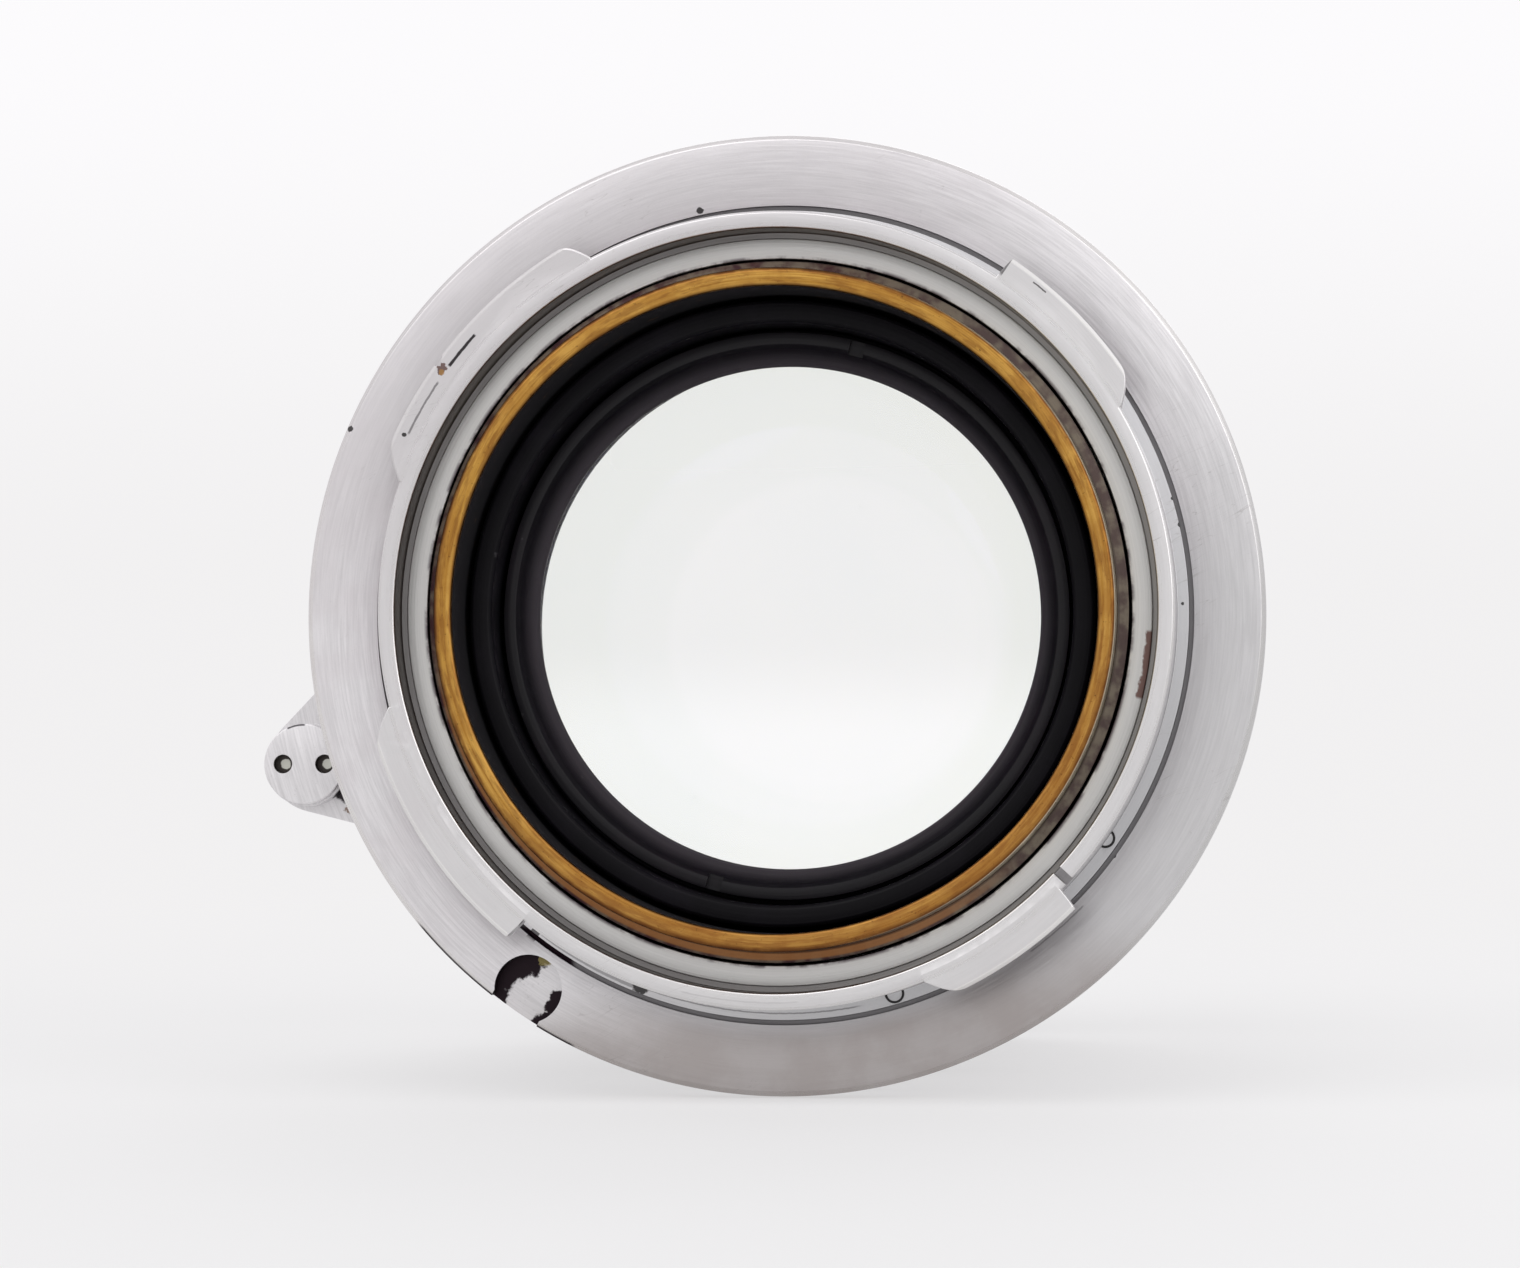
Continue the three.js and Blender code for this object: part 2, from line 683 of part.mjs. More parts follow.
function alignmentBead() {
  const inner = scaleRingRadius - beadDepth;
  return radialPin([
    [0, inner], [beadRadius, inner], [beadRadius, scaleRingFrontRadius],
    [beadRadius * Math.SQRT1_2, scaleRingFrontRadius + beadStand * Math.SQRT1_2],
    [0, scaleRingFrontRadius + beadStand],
  ], beadAngle, scaleRingMiddle);
}

// Infinity catch: a finger on the depth scale ring, beyond the lever's saddle at infinity, whose bar
// reaches in front of the saddle to the lock button's tongue
function catchAngle() {
  return leverAngle - focusToInfinity - leverFlare - (catchWidth / 2 + runGap) / catchInnerRadius;
}

function infinityCatch() {
  const barSteps = 4;
  const half = catchWidth / (2 * catchInnerRadius);
  const tongueSide = Math.asin((tongueWidth / 2 + runGap) / catchInnerRadius);
  const barEnd = leverAngle - focusToInfinity - tongueSide - catchAngle();
  const arc = [-half, half];
  const finger = barThrough(arc.map((angle) =>
    sectionAt(angle, catchInnerRadius, catchOuterRadius, catchRear, catchBarFront)));
  for (let i = 1; i <= barSteps; i++) arc.push(half + ((barEnd - half) * i) / barSteps);
  const bar = barThrough(arc.map((angle) =>
    sectionAt(angle, catchInnerRadius, catchOuterRadius, catchBarRear, catchBarFront)));
  const outer = catchOuterRadius + overrun;
  const hole = radialCutter(catchScrewRadius + pinGap, catchInnerRadius - overrun, outer, 0, scaleRingMiddle);
  const counterbore = radialCutter(
    catchScrewHeadRadius + pinGap, catchScrewSeat - pinGap, outer, 0, scaleRingMiddle);
  return turnTo(cut(join(finger, bar), hole, counterbore), catchAngle());
}

function catchScrew() {
  return screwAcross(
    scaleRingRadius - catchScrewDepth, catchScrewSeat, catchOuterRadius,
    catchScrewRadius, catchScrewHeadRadius, catchAngle(), scaleRingMiddle);
}

// A screw along a radius: its tip, the seat of its head and the top of its head
function screwAcross(tip, seat, top, shankRadius, headRadius, angle, place) {
  return radialPin([
    [0, tip], [shankRadius, tip], [shankRadius, seat], [headRadius, seat], [headRadius, top], [0, top],
  ], angle, place);
}

function focusRetainingRing() {
  return plainRing(
    sleeveRadius + seatGap, retainingRingRadius, retainingRingRear,
    retainingRingRear + retainingRingThickness, INNER_SIDES);
}

// Focus ring: its bore has a helical groove for each follower pin
function focusRing() {
  const body = turnedRing([
    [focusRingBore, focusRingRear], [focusRingRadius - edgeBreak, focusRingRear],
    [focusRingRadius, focusRingRear + edgeBreak], [focusRingRadius, focusGripRear],
    [focusGripRoot, focusGripRear], [focusGripRoot, focusGripFront],
    [focusRingRadius, focusGripFront], [focusRingRadius, focusSkirtFront - edgeBreak],
    [focusRingRadius - edgeBreak, focusSkirtFront], [focusSkirtBore, focusSkirtFront],
    [focusSkirtBore, focusCollarFront], [focusRingBore, focusCollarFront],
  ], OUTER_SIDES);
  const grip = flutedRing(
    (focusGripRoot + focusSkirtBore) / 2, focusRingRadius, focusGripRear - edgeBreak,
    focusGripFront + edgeBreak, focusFlutes, focusFluteDepth);
  const grooves = followerAngles.map(helicalGroove);
  const screwHoles = leverScrewAngles().map((angle) => radialCutter(
    leverScrewRadius + pinGap, focusRingRadius - leverScrewDepth - pinGap, focusRingRadius + overrun,
    angle, leverMiddle));
  return cut(join(body, grip), ...grooves, ...screwHoles);
}

// The groove that one follower pin runs in, as the ring turns from near focus to infinity
function helicalGroove(pinAngle) {
  const steps = 16;
  const halfWidth = followerHeadRadius + pinGap;
  const endTurn = followerHeadRadius / focusRingBore + cornerSpareAngle;
  const from = -focusToNear - endTurn;
  const to = focusToInfinity + endTurn;
  const sections = Array.from({ length: steps + 1 }, (_, i) => {
    const turn = from + ((to - from) * i) / steps;
    const place = followerPlace - leadPerRadian * turn;
    return sectionAt(
      pinAngle + turn, focusRingBore - overrun, followerHeadEnd + seatGap,
      place - halfWidth, place + halfWidth);
  });
  return barThrough(sections);
}

// Focus lever: a saddle on the focus ring and a teardrop arm with a round boss
function leverScrewAngles() {
  return [leverAngle - leverScrewAngle, leverAngle + leverScrewAngle];
}

function focusLever() {
  const inner = leverSeat;
  const outer = inner + leverThickness;
  const saddleSteps = 6;
  const saddle = barThrough(Array.from({ length: saddleSteps + 1 }, (_, i) =>
    sectionAt(leverFlare * ((2 * i) / saddleSteps - 1), inner, outer, leverRear, leverFront)));
  const boss = axialCylinder(bossRadius, bossRear, bossFront, leverReach, 0, 2 * SCREW_SIDES);
  const side = new THREE.Vector2(
    leverReach + bossRadius * Math.sin(armSpread), bossRadius * Math.cos(armSpread));
  const rootReach = inner + overrun;
  const root = new THREE.Vector2(rootReach, side.y + (side.x - rootReach) * Math.tan(armSpread));
  const arm = new THREE.Shape([
    new THREE.Vector2(root.x, -root.y), new THREE.Vector2(side.x, -side.y), side, root,
  ]);
  const chamber = axialCylinder(chamberRadius, bossRear - overrun, chamberFront, leverReach, 0);
  const stemHole = axialCylinder(
    stemRadius + pinGap, chamberFront - overrun, bossFront + overrun, leverReach, 0);
  const clearRing = axialCylinder(inner, leverRear - overrun, leverFront + overrun, 0, 0, OUTER_SIDES);
  const screwHoles = [-leverScrewAngle, leverScrewAngle].map((angle) => radialCutter(
    leverScrewRadius + pinGap, inner - overrun, outer + 2 * overrun, angle, leverMiddle));
  const blank = join(saddle, thickened(arm, leverRear, leverFront), boss);
  return turnTo(cut(blank, clearRing, chamber, stemHole, ...screwHoles), leverAngle);
}

function leverScrew(angle) {
  const seat = leverSeat + leverThickness;
  return screwAcross(
    focusRingRadius - leverScrewDepth, seat, seat + leverScrewHeadHeight,
    leverScrewRadius, leverScrewHeadRadius, angle, leverMiddle);
}

// Lever nut: a disc with two spanner holes that closes the spring chamber
function leverNut() {
  const rear = bossRear - nutThickness;
  const disc = turnedSolid([
    [0, rear], [nutRadius - edgeBreak, rear], [nutRadius, rear + edgeBreak], [nutRadius, bossRear],
    [spigotRadius, bossRear], [spigotRadius, bossRear + spigotLength], [0, bossRear + spigotLength],
  ], 2 * SCREW_SIDES);
  const holes = [-spannerHoleReach, spannerHoleReach].map((reach) =>
    axialCylinder(spannerHoleRadius, rear - overrun, rear + spannerHoleDepth, reach, 0));
  const centre = polar(leverReach, leverAngle);
  return cut(disc, ...holes).translate(centre.x, 0, centre.y);
}

// Lock button: head, tongue, stem and the collar that the spring pushes against
function lockButton() {
  const collarRear = chamberFront - pinGap - collarThickness;
  const buttonFront = buttonRear + buttonThickness + buttonDome;
  const body = turnedSolid([
    [0, collarRear], [collarRadius, collarRear], [collarRadius, collarRear + collarThickness],
    [stemRadius, collarRear + collarThickness], [stemRadius, buttonRear], [buttonRadius, buttonRear],
    [buttonRadius, buttonRear + buttonThickness], [buttonRadius / 2, buttonFront], [0, buttonFront],
  ], 2 * SCREW_SIDES).translate(leverReach, 0, 0);
  const tongueRoot = leverReach - buttonRadius / 2;
  const tongue = new THREE.BoxGeometry(tongueRoot - tongueEnd, tongueThickness, tongueWidth)
    .translate((tongueRoot + tongueEnd) / 2, buttonRear + tongueThickness / 2, 0);
  return turnTo(join(body, tongue), leverAngle);
}

// Lock spring: a coil between the nut and the button's collar
function lockSpring() {
  const rear = bossRear + spigotLength + springWire / 2 + pinGap;
  const front = chamberFront - 2 * pinGap - collarThickness - springWire / 2;
  const steps = springTurns * SPRING_STEPS;
  const points = Array.from({ length: steps + 1 }, (_, i) => {
    const angle = (2 * Math.PI * i) / SPRING_STEPS;
    const spot = polar(springRadius, angle);
    return new THREE.Vector3(spot.x, rear + ((front - rear) * i) / steps, spot.y);
  });
  const wire = new THREE.Shape(circlePath(springWire / 2, SPRING_SIDES).getPoints());
  const coil = new THREE.ExtrudeGeometry(wire, {
    steps, bevelEnabled: false, extrudePath: new THREE.CatmullRomCurve3(points),
  });
  return turnTo(coil.translate(leverReach, 0, 0), leverAngle);
}

// Brass coupling barrel, whose rear rim the camera's range finder rests on
function couplingBarrel() {
  const body = turnedRing([
    [barrelBore, barrelRear], [barrelRearRadius, barrelRear], [barrelRearRadius, barrelStep],
    [barrelRadius, barrelStep], [barrelRadius, barrelFront], [barrelBore, barrelFront],
  ], INNER_SIDES);
  const pinHoles = followerAngles.map((angle) => radialCutter(
    followerShankRadius + pinGap, barrelBore - overrun, barrelRadius + overrun, angle, followerPlace));
  return cut(body, ...pinHoles);
}

function followerPin(angle) {
  const neck = barrelRadius + pinGap;
  return radialPin([
    [0, barrelBore], [followerShankRadius, barrelBore], [followerShankRadius, neck],
    [followerHeadRadius, neck], [followerHeadRadius, followerHeadEnd], [0, followerHeadEnd],
  ], angle, followerPlace);
}

// Head shell: web that closes on the barrel, bore for the cells and seat of the aperture ring
function headShell() {
  const body = turnedRing([
    [rearCellRadius + seatGap, barrelFront], [shellRearRadius, barrelFront],
    [shellRearRadius, shellRearFront], [shellRadius, shellRearFront], [shellRadius, shellFront],
    [shellBore, shellFront], [shellBore, shellWebFront], [rearCellRadius + seatGap, shellWebFront],
  ], INNER_SIDES);
  return cut(body, driveWindow(shellBore - overrun, shellRadius + overrun));
}

// The window that the drive screw sweeps when the aperture ring turns
function driveWindow(inner, outer) {
  const steps = 6;
  const halfHeight = driveScrewRadius + runGap;
  const spare = (driveScrewRadius + runGap) / shellBore + cornerSpareAngle;
  return barThrough(Array.from({ length: steps + 1 }, (_, i) => sectionAt(
    driveScrewAngle - spare + ((apertureTurn + 2 * spare) * i) / steps, inner, outer,
    driveScrewPlace - halfHeight, driveScrewPlace + halfHeight)));
}

// Rear cell: mouth, seats of the three rear glasses and a shoulder on the shell's web
function rearCell() {
  const mouthFront = rearCellRear + rearMouthDepth;
  const rearSeat = edgeFront(rearGlass) + seatGap;
  const innerLedge = rearInnerGlass.half - ledgeThickness;
  const innerSeat = rearInnerGlass.rear + sag(rearInnerGlass.rearCurve, innerLedge) - seatGap;
  return turnedRing([
    [rearMouthRadius, rearCellRear], [rearCellRadius, rearCellRear], [rearCellRadius, shellWebFront],
    [housingRadius, shellWebFront], [housingRadius, shoulderSeat], [rearCellRadius, shoulderSeat],
    [rearCellRadius, rearNoseRear], [rearNoseRadius, rearNoseRear], [rearNoseRadius, rearCellFront],
    [rearInnerGlass.half + seatGap, rearCellFront], [rearInnerGlass.half + seatGap, innerSeat],
    [innerLedge, innerSeat], [innerLedge, rearSeat + ledgeThickness],
    [rearRingBore, rearSeat + ledgeThickness], [rearRingBore, rearSeat], [rearGlass.half + seatGap, rearSeat],
    [rearGlass.half + seatGap, mouthFront], [rearMouthRadius, mouthFront],
  ], INNER_SIDES);
}

// How far a spherical face falls back between its vertex and a radius
function sag(curve, radius) {
  const size = Math.abs(curve);
  return Math.sign(curve) * (size - Math.sqrt(size * size - radius * radius));
}

// A glass's shape with its half width and its rear and front vertex
function placed(shape, half, rear) {
  return { rearRim: 0, frontRim: 0, ...shape, half, rear, front: rear + shape.thickness };
}

// The same, from where its front vertex is
function placedBehind(shape, half, front) {
  return placed(shape, half, front - shape.thickness);
}

function edgeRear({ rear, half, rearRim, rearCurve }) {
  return rear + sag(rearCurve, half - rearRim);
}

function edgeFront({ front, half, frontRim, frontCurve }) {
  return front + sag(frontCurve, half - frontRim);
}

// One glass, turned from its two spherical faces and its ground edge
function glassElement(element) {
  const { rear, front, half, rearRim, frontRim, rearCurve, frontCurve } = element;
  const rearHalf = half - rearRim;
  const frontHalf = half - frontRim;
  const corners = [];
  for (let i = 0; i <= GLASS_STEPS; i++) {
    const radius = (rearHalf * i) / GLASS_STEPS;
    corners.push([radius, rear + sag(rearCurve, radius)]);
  }
  if (rearRim > 0) corners.push([half, edgeRear(element)]);
  if (frontRim > 0) corners.push([half, edgeFront(element)]);
  for (let i = GLASS_STEPS; i >= 0; i--) {
    const radius = (frontHalf * i) / GLASS_STEPS;
    corners.push([radius, front + sag(frontCurve, radius)]);
  }
  return turnedSolid(corners, GLASS_SIDES);
}

// Rear retaining ring: screwed into the mouth behind the rear glass, with a flared bore
function rearRetainingRing() {
  const front = edgeRear(rearGlass) - seatGap;
  const rear = rearCellRear + rearRingInset;
  const shoulder = rearCellRear + rearMouthDepth - seatGap;
  return turnedRing([
    [rearRingFlare, rear], [rearMouthRadius - seatGap, rear], [rearMouthRadius - seatGap, shoulder],
    [rearGlass.half, shoulder], [rearGlass.half, front], [rearRingBore, front],
    [rearRingBore, front - rearRingBoreLength],
  ], INNER_SIDES);
}

function innerRetainingRing() {
  return plainRing(
    innerRingBore, rearFlintGlass.half, innerRingRear, innerRingRear + innerRingThickness, INNER_SIDES);
}

// Iris housing: wall, and the plate that holds the blades' pivots
function irisHousing() {
  const body = turnedRing([
    [housingBore, shoulderSeat], [housingRadius, shoulderSeat], [housingRadius, housingFront],
    [housingBore, housingFront], [housingBore, pivotPlateFront], [pivotPlateBore, pivotPlateFront],
    [pivotPlateBore, pivotPlateRear], [housingBore, pivotPlateRear],
  ], INNER_SIDES);
  const pivotHoles = bladeAngles().map((angle) => axialCylinder(
    pivotRadius + pinGap, pivotPlateRear - overrun, pivotPlateFront + overrun, pivotReach, angle, PIN_SIDES));
  return cut(body, driveWindow(housingBore - overrun, housingRadius + overrun), ...pivotHoles);
}

function bladeAngles() {
  return Array.from({ length: bladeCount }, (_, i) => (2 * Math.PI * i) / bladeCount);
}

// One iris blade: a thin band that climbs along its arc, with an ear and its pivot, and a drive pin
function irisBlade() {
  const rampAt = (angle) => bladeRear + (bladeClimb * (angle + bladeHeel)) / (bladeSpan + bladeHeel);
  const innerAt = (angle) => {
    const share = THREE.MathUtils.clamp((angle - bladeSpan + bladeTaper) / bladeTaper, 0, 1);
    return bladeInnerRadius + share * bladeTaperShare * (bladeOuterRadius - bladeInnerRadius);
  };
  const band = barThrough(Array.from({ length: BLADE_STEPS + 1 }, (_, i) => {
    const angle = -bladeHeel + ((bladeSpan + bladeHeel) * i) / BLADE_STEPS;
    const rear = rampAt(angle);
    return sectionAt(angle, innerAt(angle), bladeOuterRadius, rear, rear + bladeThickness);
  }));
  const earThickness = rampAt(bladeHeel) - bladeRear;
  const ear = axialCylinder(earRadius, bladeRear, bladeRear + earThickness, pivotReach, 0, PIN_SIDES);
  const neck = new THREE.BoxGeometry(pivotReach - bladeOuterRadius + earRadius, earThickness, earRadius)
    .translate((pivotReach + bladeOuterRadius - earRadius) / 2, bladeRear + earThickness / 2, 0);
  const pivot = axialCylinder(
    pivotRadius, pivotEnd, bladeRear + bladeThickness / 2, pivotReach, 0, PIN_SIDES);
  const drivePin = axialCylinder(
    drivePinRadius, drivePinEnd, rampAt(drivePinAngle) + bladeThickness / 2, drivePinReach, drivePinAngle,
    PIN_SIDES);
  return join(band, neck, ear, pivot, drivePin);
}

// Where a blade's drive pin stands when the blade has turned by an angle
function drivePinAt(turn) {
  const pivot = polar(pivotReach, 0);
  return polar(drivePinReach, drivePinAngle).rotateAround(pivot, turn);
}

// Cam ring: a slot for each blade's drive pin, and a skirt that the drive screw enters
function camRing() {
  const path = Array.from({ length: CAM_SLOT_STEPS + 1 }, (_, i) => {
    const share = i / CAM_SLOT_STEPS;
    return turned(drivePinAt(bladeTurn * share), -apertureTurn * share);
  });
  const body = turnedRing([
    [camRingBore, camRingRear], [camSkirtBore, camRingRear], [camSkirtBore, camSkirtRear],
    [camRingRadius, camSkirtRear], [camRingRadius, camRingFront], [camRingBore, camRingFront],
  ], INNER_SIDES);
  const slots = bladeAngles().map((angle) => {
    const outline = slotPath(path.map((point) => turned(point, angle)), drivePinRadius + pinGap);
    return thickened(new THREE.Shape(outline.getPoints()), camRingRear - overrun, camRingFront + overrun);
  });
  const screwHole = radialCutter(
    driveScrewRadius + pinGap, camSkirtBore - overrun, camRingRadius + overrun,
    driveScrewAngle, driveScrewPlace);
  return cut(body, screwHole, ...slots);
}

function apertureRing() {
  const body = turnedRing([
    [apertureRingBore, apertureRingRear], [apertureRingRadius - edgeBreak, apertureRingRear],
    [apertureRingRadius, apertureRingRear + edgeBreak], [apertureRingRadius, apertureGripRear],
    [apertureGripRoot, apertureGripRear], [apertureGripRoot, apertureGripFront],
    [apertureRingRadius, apertureGripFront], [apertureRingRadius, apertureRingFront - edgeBreak],
    [apertureRingRadius - edgeBreak, apertureRingFront], [apertureRingBore, apertureRingFront],
  ], OUTER_SIDES);
  const grip = flutedRing(
    (apertureGripRoot + apertureRingBore) / 2, apertureRingRadius, apertureGripRear - edgeBreak,
    apertureGripFront + edgeBreak, apertureFlutes, apertureFluteDepth);
  const hole = radialCutter(
    driveScrewRadius + pinGap, apertureRingBore - overrun, apertureRingRadius + overrun,
    driveScrewAngle, driveScrewPlace);
  const counterbore = radialCutter(
    driveScrewHeadRadius + pinGap, driveScrewHeadSeat - pinGap, apertureRingRadius + overrun,
    driveScrewAngle, driveScrewPlace);
  return cut(join(body, grip), hole, counterbore);
}

function driveScrew() {
  return screwAcross(
    camRingRadius - driveScrewEntry, driveScrewHeadSeat, driveScrewHeadSeat + driveScrewHeadHeight,
    driveScrewRadius, driveScrewHeadRadius,
    driveScrewAngle, driveScrewPlace);
}

// Front cell: rear plate over the blades, seats of the three front glasses and two flanges
function frontCell() {
  const frontSeat = edgeRear(frontGlass) - seatGap;
  const flangeRear = housingFront + seatGap;
  const neckRear = flangeRear + frontCellFlangeThickness;
  const neckFront = frontCellFront - frontCellFlangeThickness;
  return turnedRing([
    [camRingBore, frontCellRear], [frontCellRadius, frontCellRear], [frontCellRadius, flangeRear],
    [housingRadius, flangeRear], [housingRadius, neckRear], [frontCellRadius, neckRear],
    [frontCellRadius, neckFront], [housingRadius, neckFront], [housingRadius, frontCellFront],
    [frontGlass.half + seatGap, frontCellFront], [frontGlass.half + seatGap, frontSeat],
    [frontInnerGlass.half + seatGap, frontSeat], [frontInnerGlass.half + seatGap, frontPlateFront],
    [camRingBore, frontPlateFront],
  ], INNER_SIDES);
}

// Lens spacer between the inner and the front glass of the front cell
function lensSpacer() {
  const rear = frontInnerGlass.front + sag(frontInnerGlass.frontCurve, spacerBore) + pinGap;
  return plainRing(
    spacerBore, frontInnerGlass.half, rear, edgeRear(frontGlass), INNER_SIDES);
}

function frontRetainingRing() {
  const rear = frontGlass.front + sag(frontGlass.frontCurve, frontRingBore) + seatGap;
  return turnedRing([
    [frontRingBore, rear], [frontGlass.half, rear], [frontGlass.half, rear + frontRingThickness],
    [frontRingBore + frontRingRise, rear + frontRingThickness],
  ], INNER_SIDES);
}

// Trim ring: a plain cone between the front glass and the filter thread
function trimRing() {
  return turnedRing([
    [trimInnerRadius, frontCellFront], [trimOuterRadius, frontCellFront],
    [trimOuterRadius, frontCellFront + trimWall + trimRise],
    [trimInnerRadius + trimSlope, frontCellFront + trimWall],
  ], INNER_SIDES);
}

// Front sleeve: outside of the head in front of the aperture ring, with the filter thread's bore
function frontSleeve() {
  const rear = apertureRingFront + runGap;
  return turnedRing([
    [frontSleeveBore, rear], [frontSleeveRadius - edgeBreak, rear], [frontSleeveRadius, rear + edgeBreak],
    [frontSleeveRadius, shellFront], [frontRimRadius, shellFront], [frontRimRadius, frontRim - edgeBreak],
    [frontRimRadius - edgeBreak, frontRim], [filterBore, frontRim], [filterBore, frontWebFront],
    [frontWebBore, frontWebFront], [frontWebBore, shellFront], [frontSleeveBore, shellFront],
  ], OUTER_SIDES);
}

// Fixed pieces
addPart("bayonet_flange", bayonetFlange(), chrome);
addPart("fixed_sleeve", fixedSleeve(), greyMetal);
addPart("depth_scale_ring", depthScaleRing(), chrome);
addPart("focus_retaining_ring", focusRetainingRing(), greyMetal);
flangeScrewAngles().forEach((angle, i) => {
  addPart(`flange_screw_${i + 1}`, flangeScrew(), steel).rotation.y = -angle;
});
addPart("alignment_bead", alignmentBead(), redEnamel);
addPart("infinity_catch", infinityCatch(), chrome);
addPart("catch_screw", catchScrew(), steel);

// Pieces that turn with the focus lever
addPart("focus_ring", focusRing(), chrome);
addPart("focus_lever", focusLever(), chrome);
leverScrewAngles().forEach((angle, i) => {
  addPart(`lever_screw_${i + 1}`, leverScrew(angle), steel);
});
addPart("lever_nut", leverNut(), chrome);
addPart("lock_spring", lockSpring(), steel);
addPart("lock_button", lockButton(), chrome);

// Pieces of the head that slides when the lens is focused
addPart("coupling_barrel", couplingBarrel(), brass);
followerAngles.forEach((angle, i) => {
  addPart(`follower_pin_${i + 1}`, followerPin(angle), steel);
});
addPart("head_shell", headShell(), chrome);
addPart("rear_cell", rearCell(), black);
addPart("rear_retaining_ring", rearRetainingRing(), black);
addPart("rear_glass", glassElement(rearGlass), glass);
addPart("rear_inner_glass", glassElement(rearInnerGlass), glass);
addPart("rear_flint_glass", glassElement(rearFlintGlass), glass);
addPart("inner_retaining_ring", innerRetainingRing(), black);
addPart("iris_housing", irisHousing(), black);
addPart("front_cell", frontCell(), black);
addPart("front_flint_glass", glassElement(frontFlintGlass), glass);
addPart("front_inner_glass", glassElement(frontInnerGlass), glass);
addPart("lens_spacer", lensSpacer(), black);
addPart("front_glass", glassElement(frontGlass), glass);
addPart("front_retaining_ring", frontRetainingRing(), black);
addPart("trim_ring", trimRing(), black);
addPart("front_sleeve", frontSleeve(), chrome);

// Pieces that turn with the aperture ring
addPart("aperture_ring", apertureRing(), chrome);
addPart("drive_screw", driveScrew(), steel);
addPart("cam_ring", camRing(), greyMetal);

// Iris blades, each turned to its own pivot
bladeAngles().forEach((angle, i) => {
  addPart(`iris_blade_${i + 1}`, irisBlade(), bladeSteel).rotation.y = -angle;
});

export default lens;
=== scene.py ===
"""Looks of a fast standard lens that stands on a white table, its bayonet towards the camera.

Everything in Blender is in metres. The optical axis is +Y, from the bayonet to the front glass,
and +Z is up. Sections are given as (radius, place) corners in millimetres, and angles in degrees
from +X towards +Z, as the lens is seen from behind.
"""
import json
import math

import bpy
from mathutils import Matrix, Vector


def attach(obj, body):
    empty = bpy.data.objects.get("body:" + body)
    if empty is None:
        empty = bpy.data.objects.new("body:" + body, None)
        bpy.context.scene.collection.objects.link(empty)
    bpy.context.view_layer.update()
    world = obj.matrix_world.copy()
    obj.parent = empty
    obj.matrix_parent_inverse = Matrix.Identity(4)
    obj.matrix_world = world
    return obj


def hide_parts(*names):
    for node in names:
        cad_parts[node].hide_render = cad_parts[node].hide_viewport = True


MM = 0.001
FULL_TURN = 2 * math.pi

# Where the focus lever and the screw of the infinity catch sit at rest, in degrees
LEVER_ANGLE = 196.3
CATCH_ANGLE = 112.9
SADDLE_SCREW_SPREAD = 10.8
SADDLE_SCREW_ANGLES = (LEVER_ANGLE - SADDLE_SCREW_SPREAD, LEVER_ANGLE + SADDLE_SCREW_SPREAD)

# How far the lever's nut and button are from the axis, and the nut's holes from its middle, in mm
LEVER_REACH = 27.45
SPANNER_HOLE_SIDES = (-1.13, 1.13)

# Faces that meet at less than this many degrees are shaded as one
SMOOTH_ANGLE = 35

# Places along the axis: the bayonet's rear face, the catch's screw, the saddle's screws, the drive screw
REAR_FACE = -5.2
CATCH_SCREW_PLACE = 4.0
SADDLE_SCREW_PLACE = 7.9
DRIVE_SCREW_PLACE = 21.88

# Radii that several pieces share, in mm
TUBE_RADIUS = 20.7
LUG_RADIUS = 21.9
FLANGE_RADIUS = 25.3
FLANGE_SCREW_REACH = 20.95
FOCUS_RING_RADIUS = 24.3
APERTURE_RING_RADIUS = 23.4
FRONT_SLEEVE_RADIUS = 23.2

# Angles that several pieces share, in degrees
FLANGE_SCREW_ANGLES = (45, 135, 225, 315)
FOLLOWER_ANGLES = (60, 240)
BEAD_ANGLE = 64.0
DRIVE_SCREW_ANGLE = 320.0

# The two circles punched into the bayonet, as (reach, angle)
PUNCHED_CIRCLES = ((20.74, 286.4), (20.6, 325.1))

# Where each lug starts and ends, and how long its ramps are, in degrees
LUGS = [
    {"start": 30.0, "end": 56.0, "start_ramp": 5.0, "end_ramp": 0.6},
    {"start": 117.5, "end": 161.0, "start_ramp": 3.5, "end_ramp": 6.0},
    {"start": 194.0, "end": 231.0, "start_ramp": 6.0, "end_ramp": 0.6},
    {"start": 292.0, "end": 315.6, "start_ramp": 5.0, "end_ramp": 0.6},
]

# Colours that several finishes share
NEAR_BLACK = (0.02, 0.018, 0.018)
BACKGROUND = (0.885, 0.875, 0.88)
HIGH_BACKGROUND = (0.975, 0.965, 0.98)

# The photograph's frame, its lens and the centre of the bayonet's rear face in it, in pixels
PHOTO_WIDTH = 1520
PHOTO_HEIGHT = 1268
FOCAL_LENGTH_PIXELS = 5794.8
BAYONET_CENTRE_PIXELS = (773.4, 609.2)

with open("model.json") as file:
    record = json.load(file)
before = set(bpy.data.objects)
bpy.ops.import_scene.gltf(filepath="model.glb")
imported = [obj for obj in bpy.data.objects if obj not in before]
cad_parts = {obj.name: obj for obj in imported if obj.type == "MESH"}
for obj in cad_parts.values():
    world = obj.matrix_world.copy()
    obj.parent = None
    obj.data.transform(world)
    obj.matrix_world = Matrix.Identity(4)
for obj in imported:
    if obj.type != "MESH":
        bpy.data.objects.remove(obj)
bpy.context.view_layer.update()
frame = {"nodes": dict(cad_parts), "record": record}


# Workshop: how pieces are turned, cut and placed

def clear_selection():
    bpy.ops.object.select_all(action="DESELECT")


def pick(piece):
    clear_selection()
    piece.select_set(True)
    bpy.context.view_layer.objects.active = piece


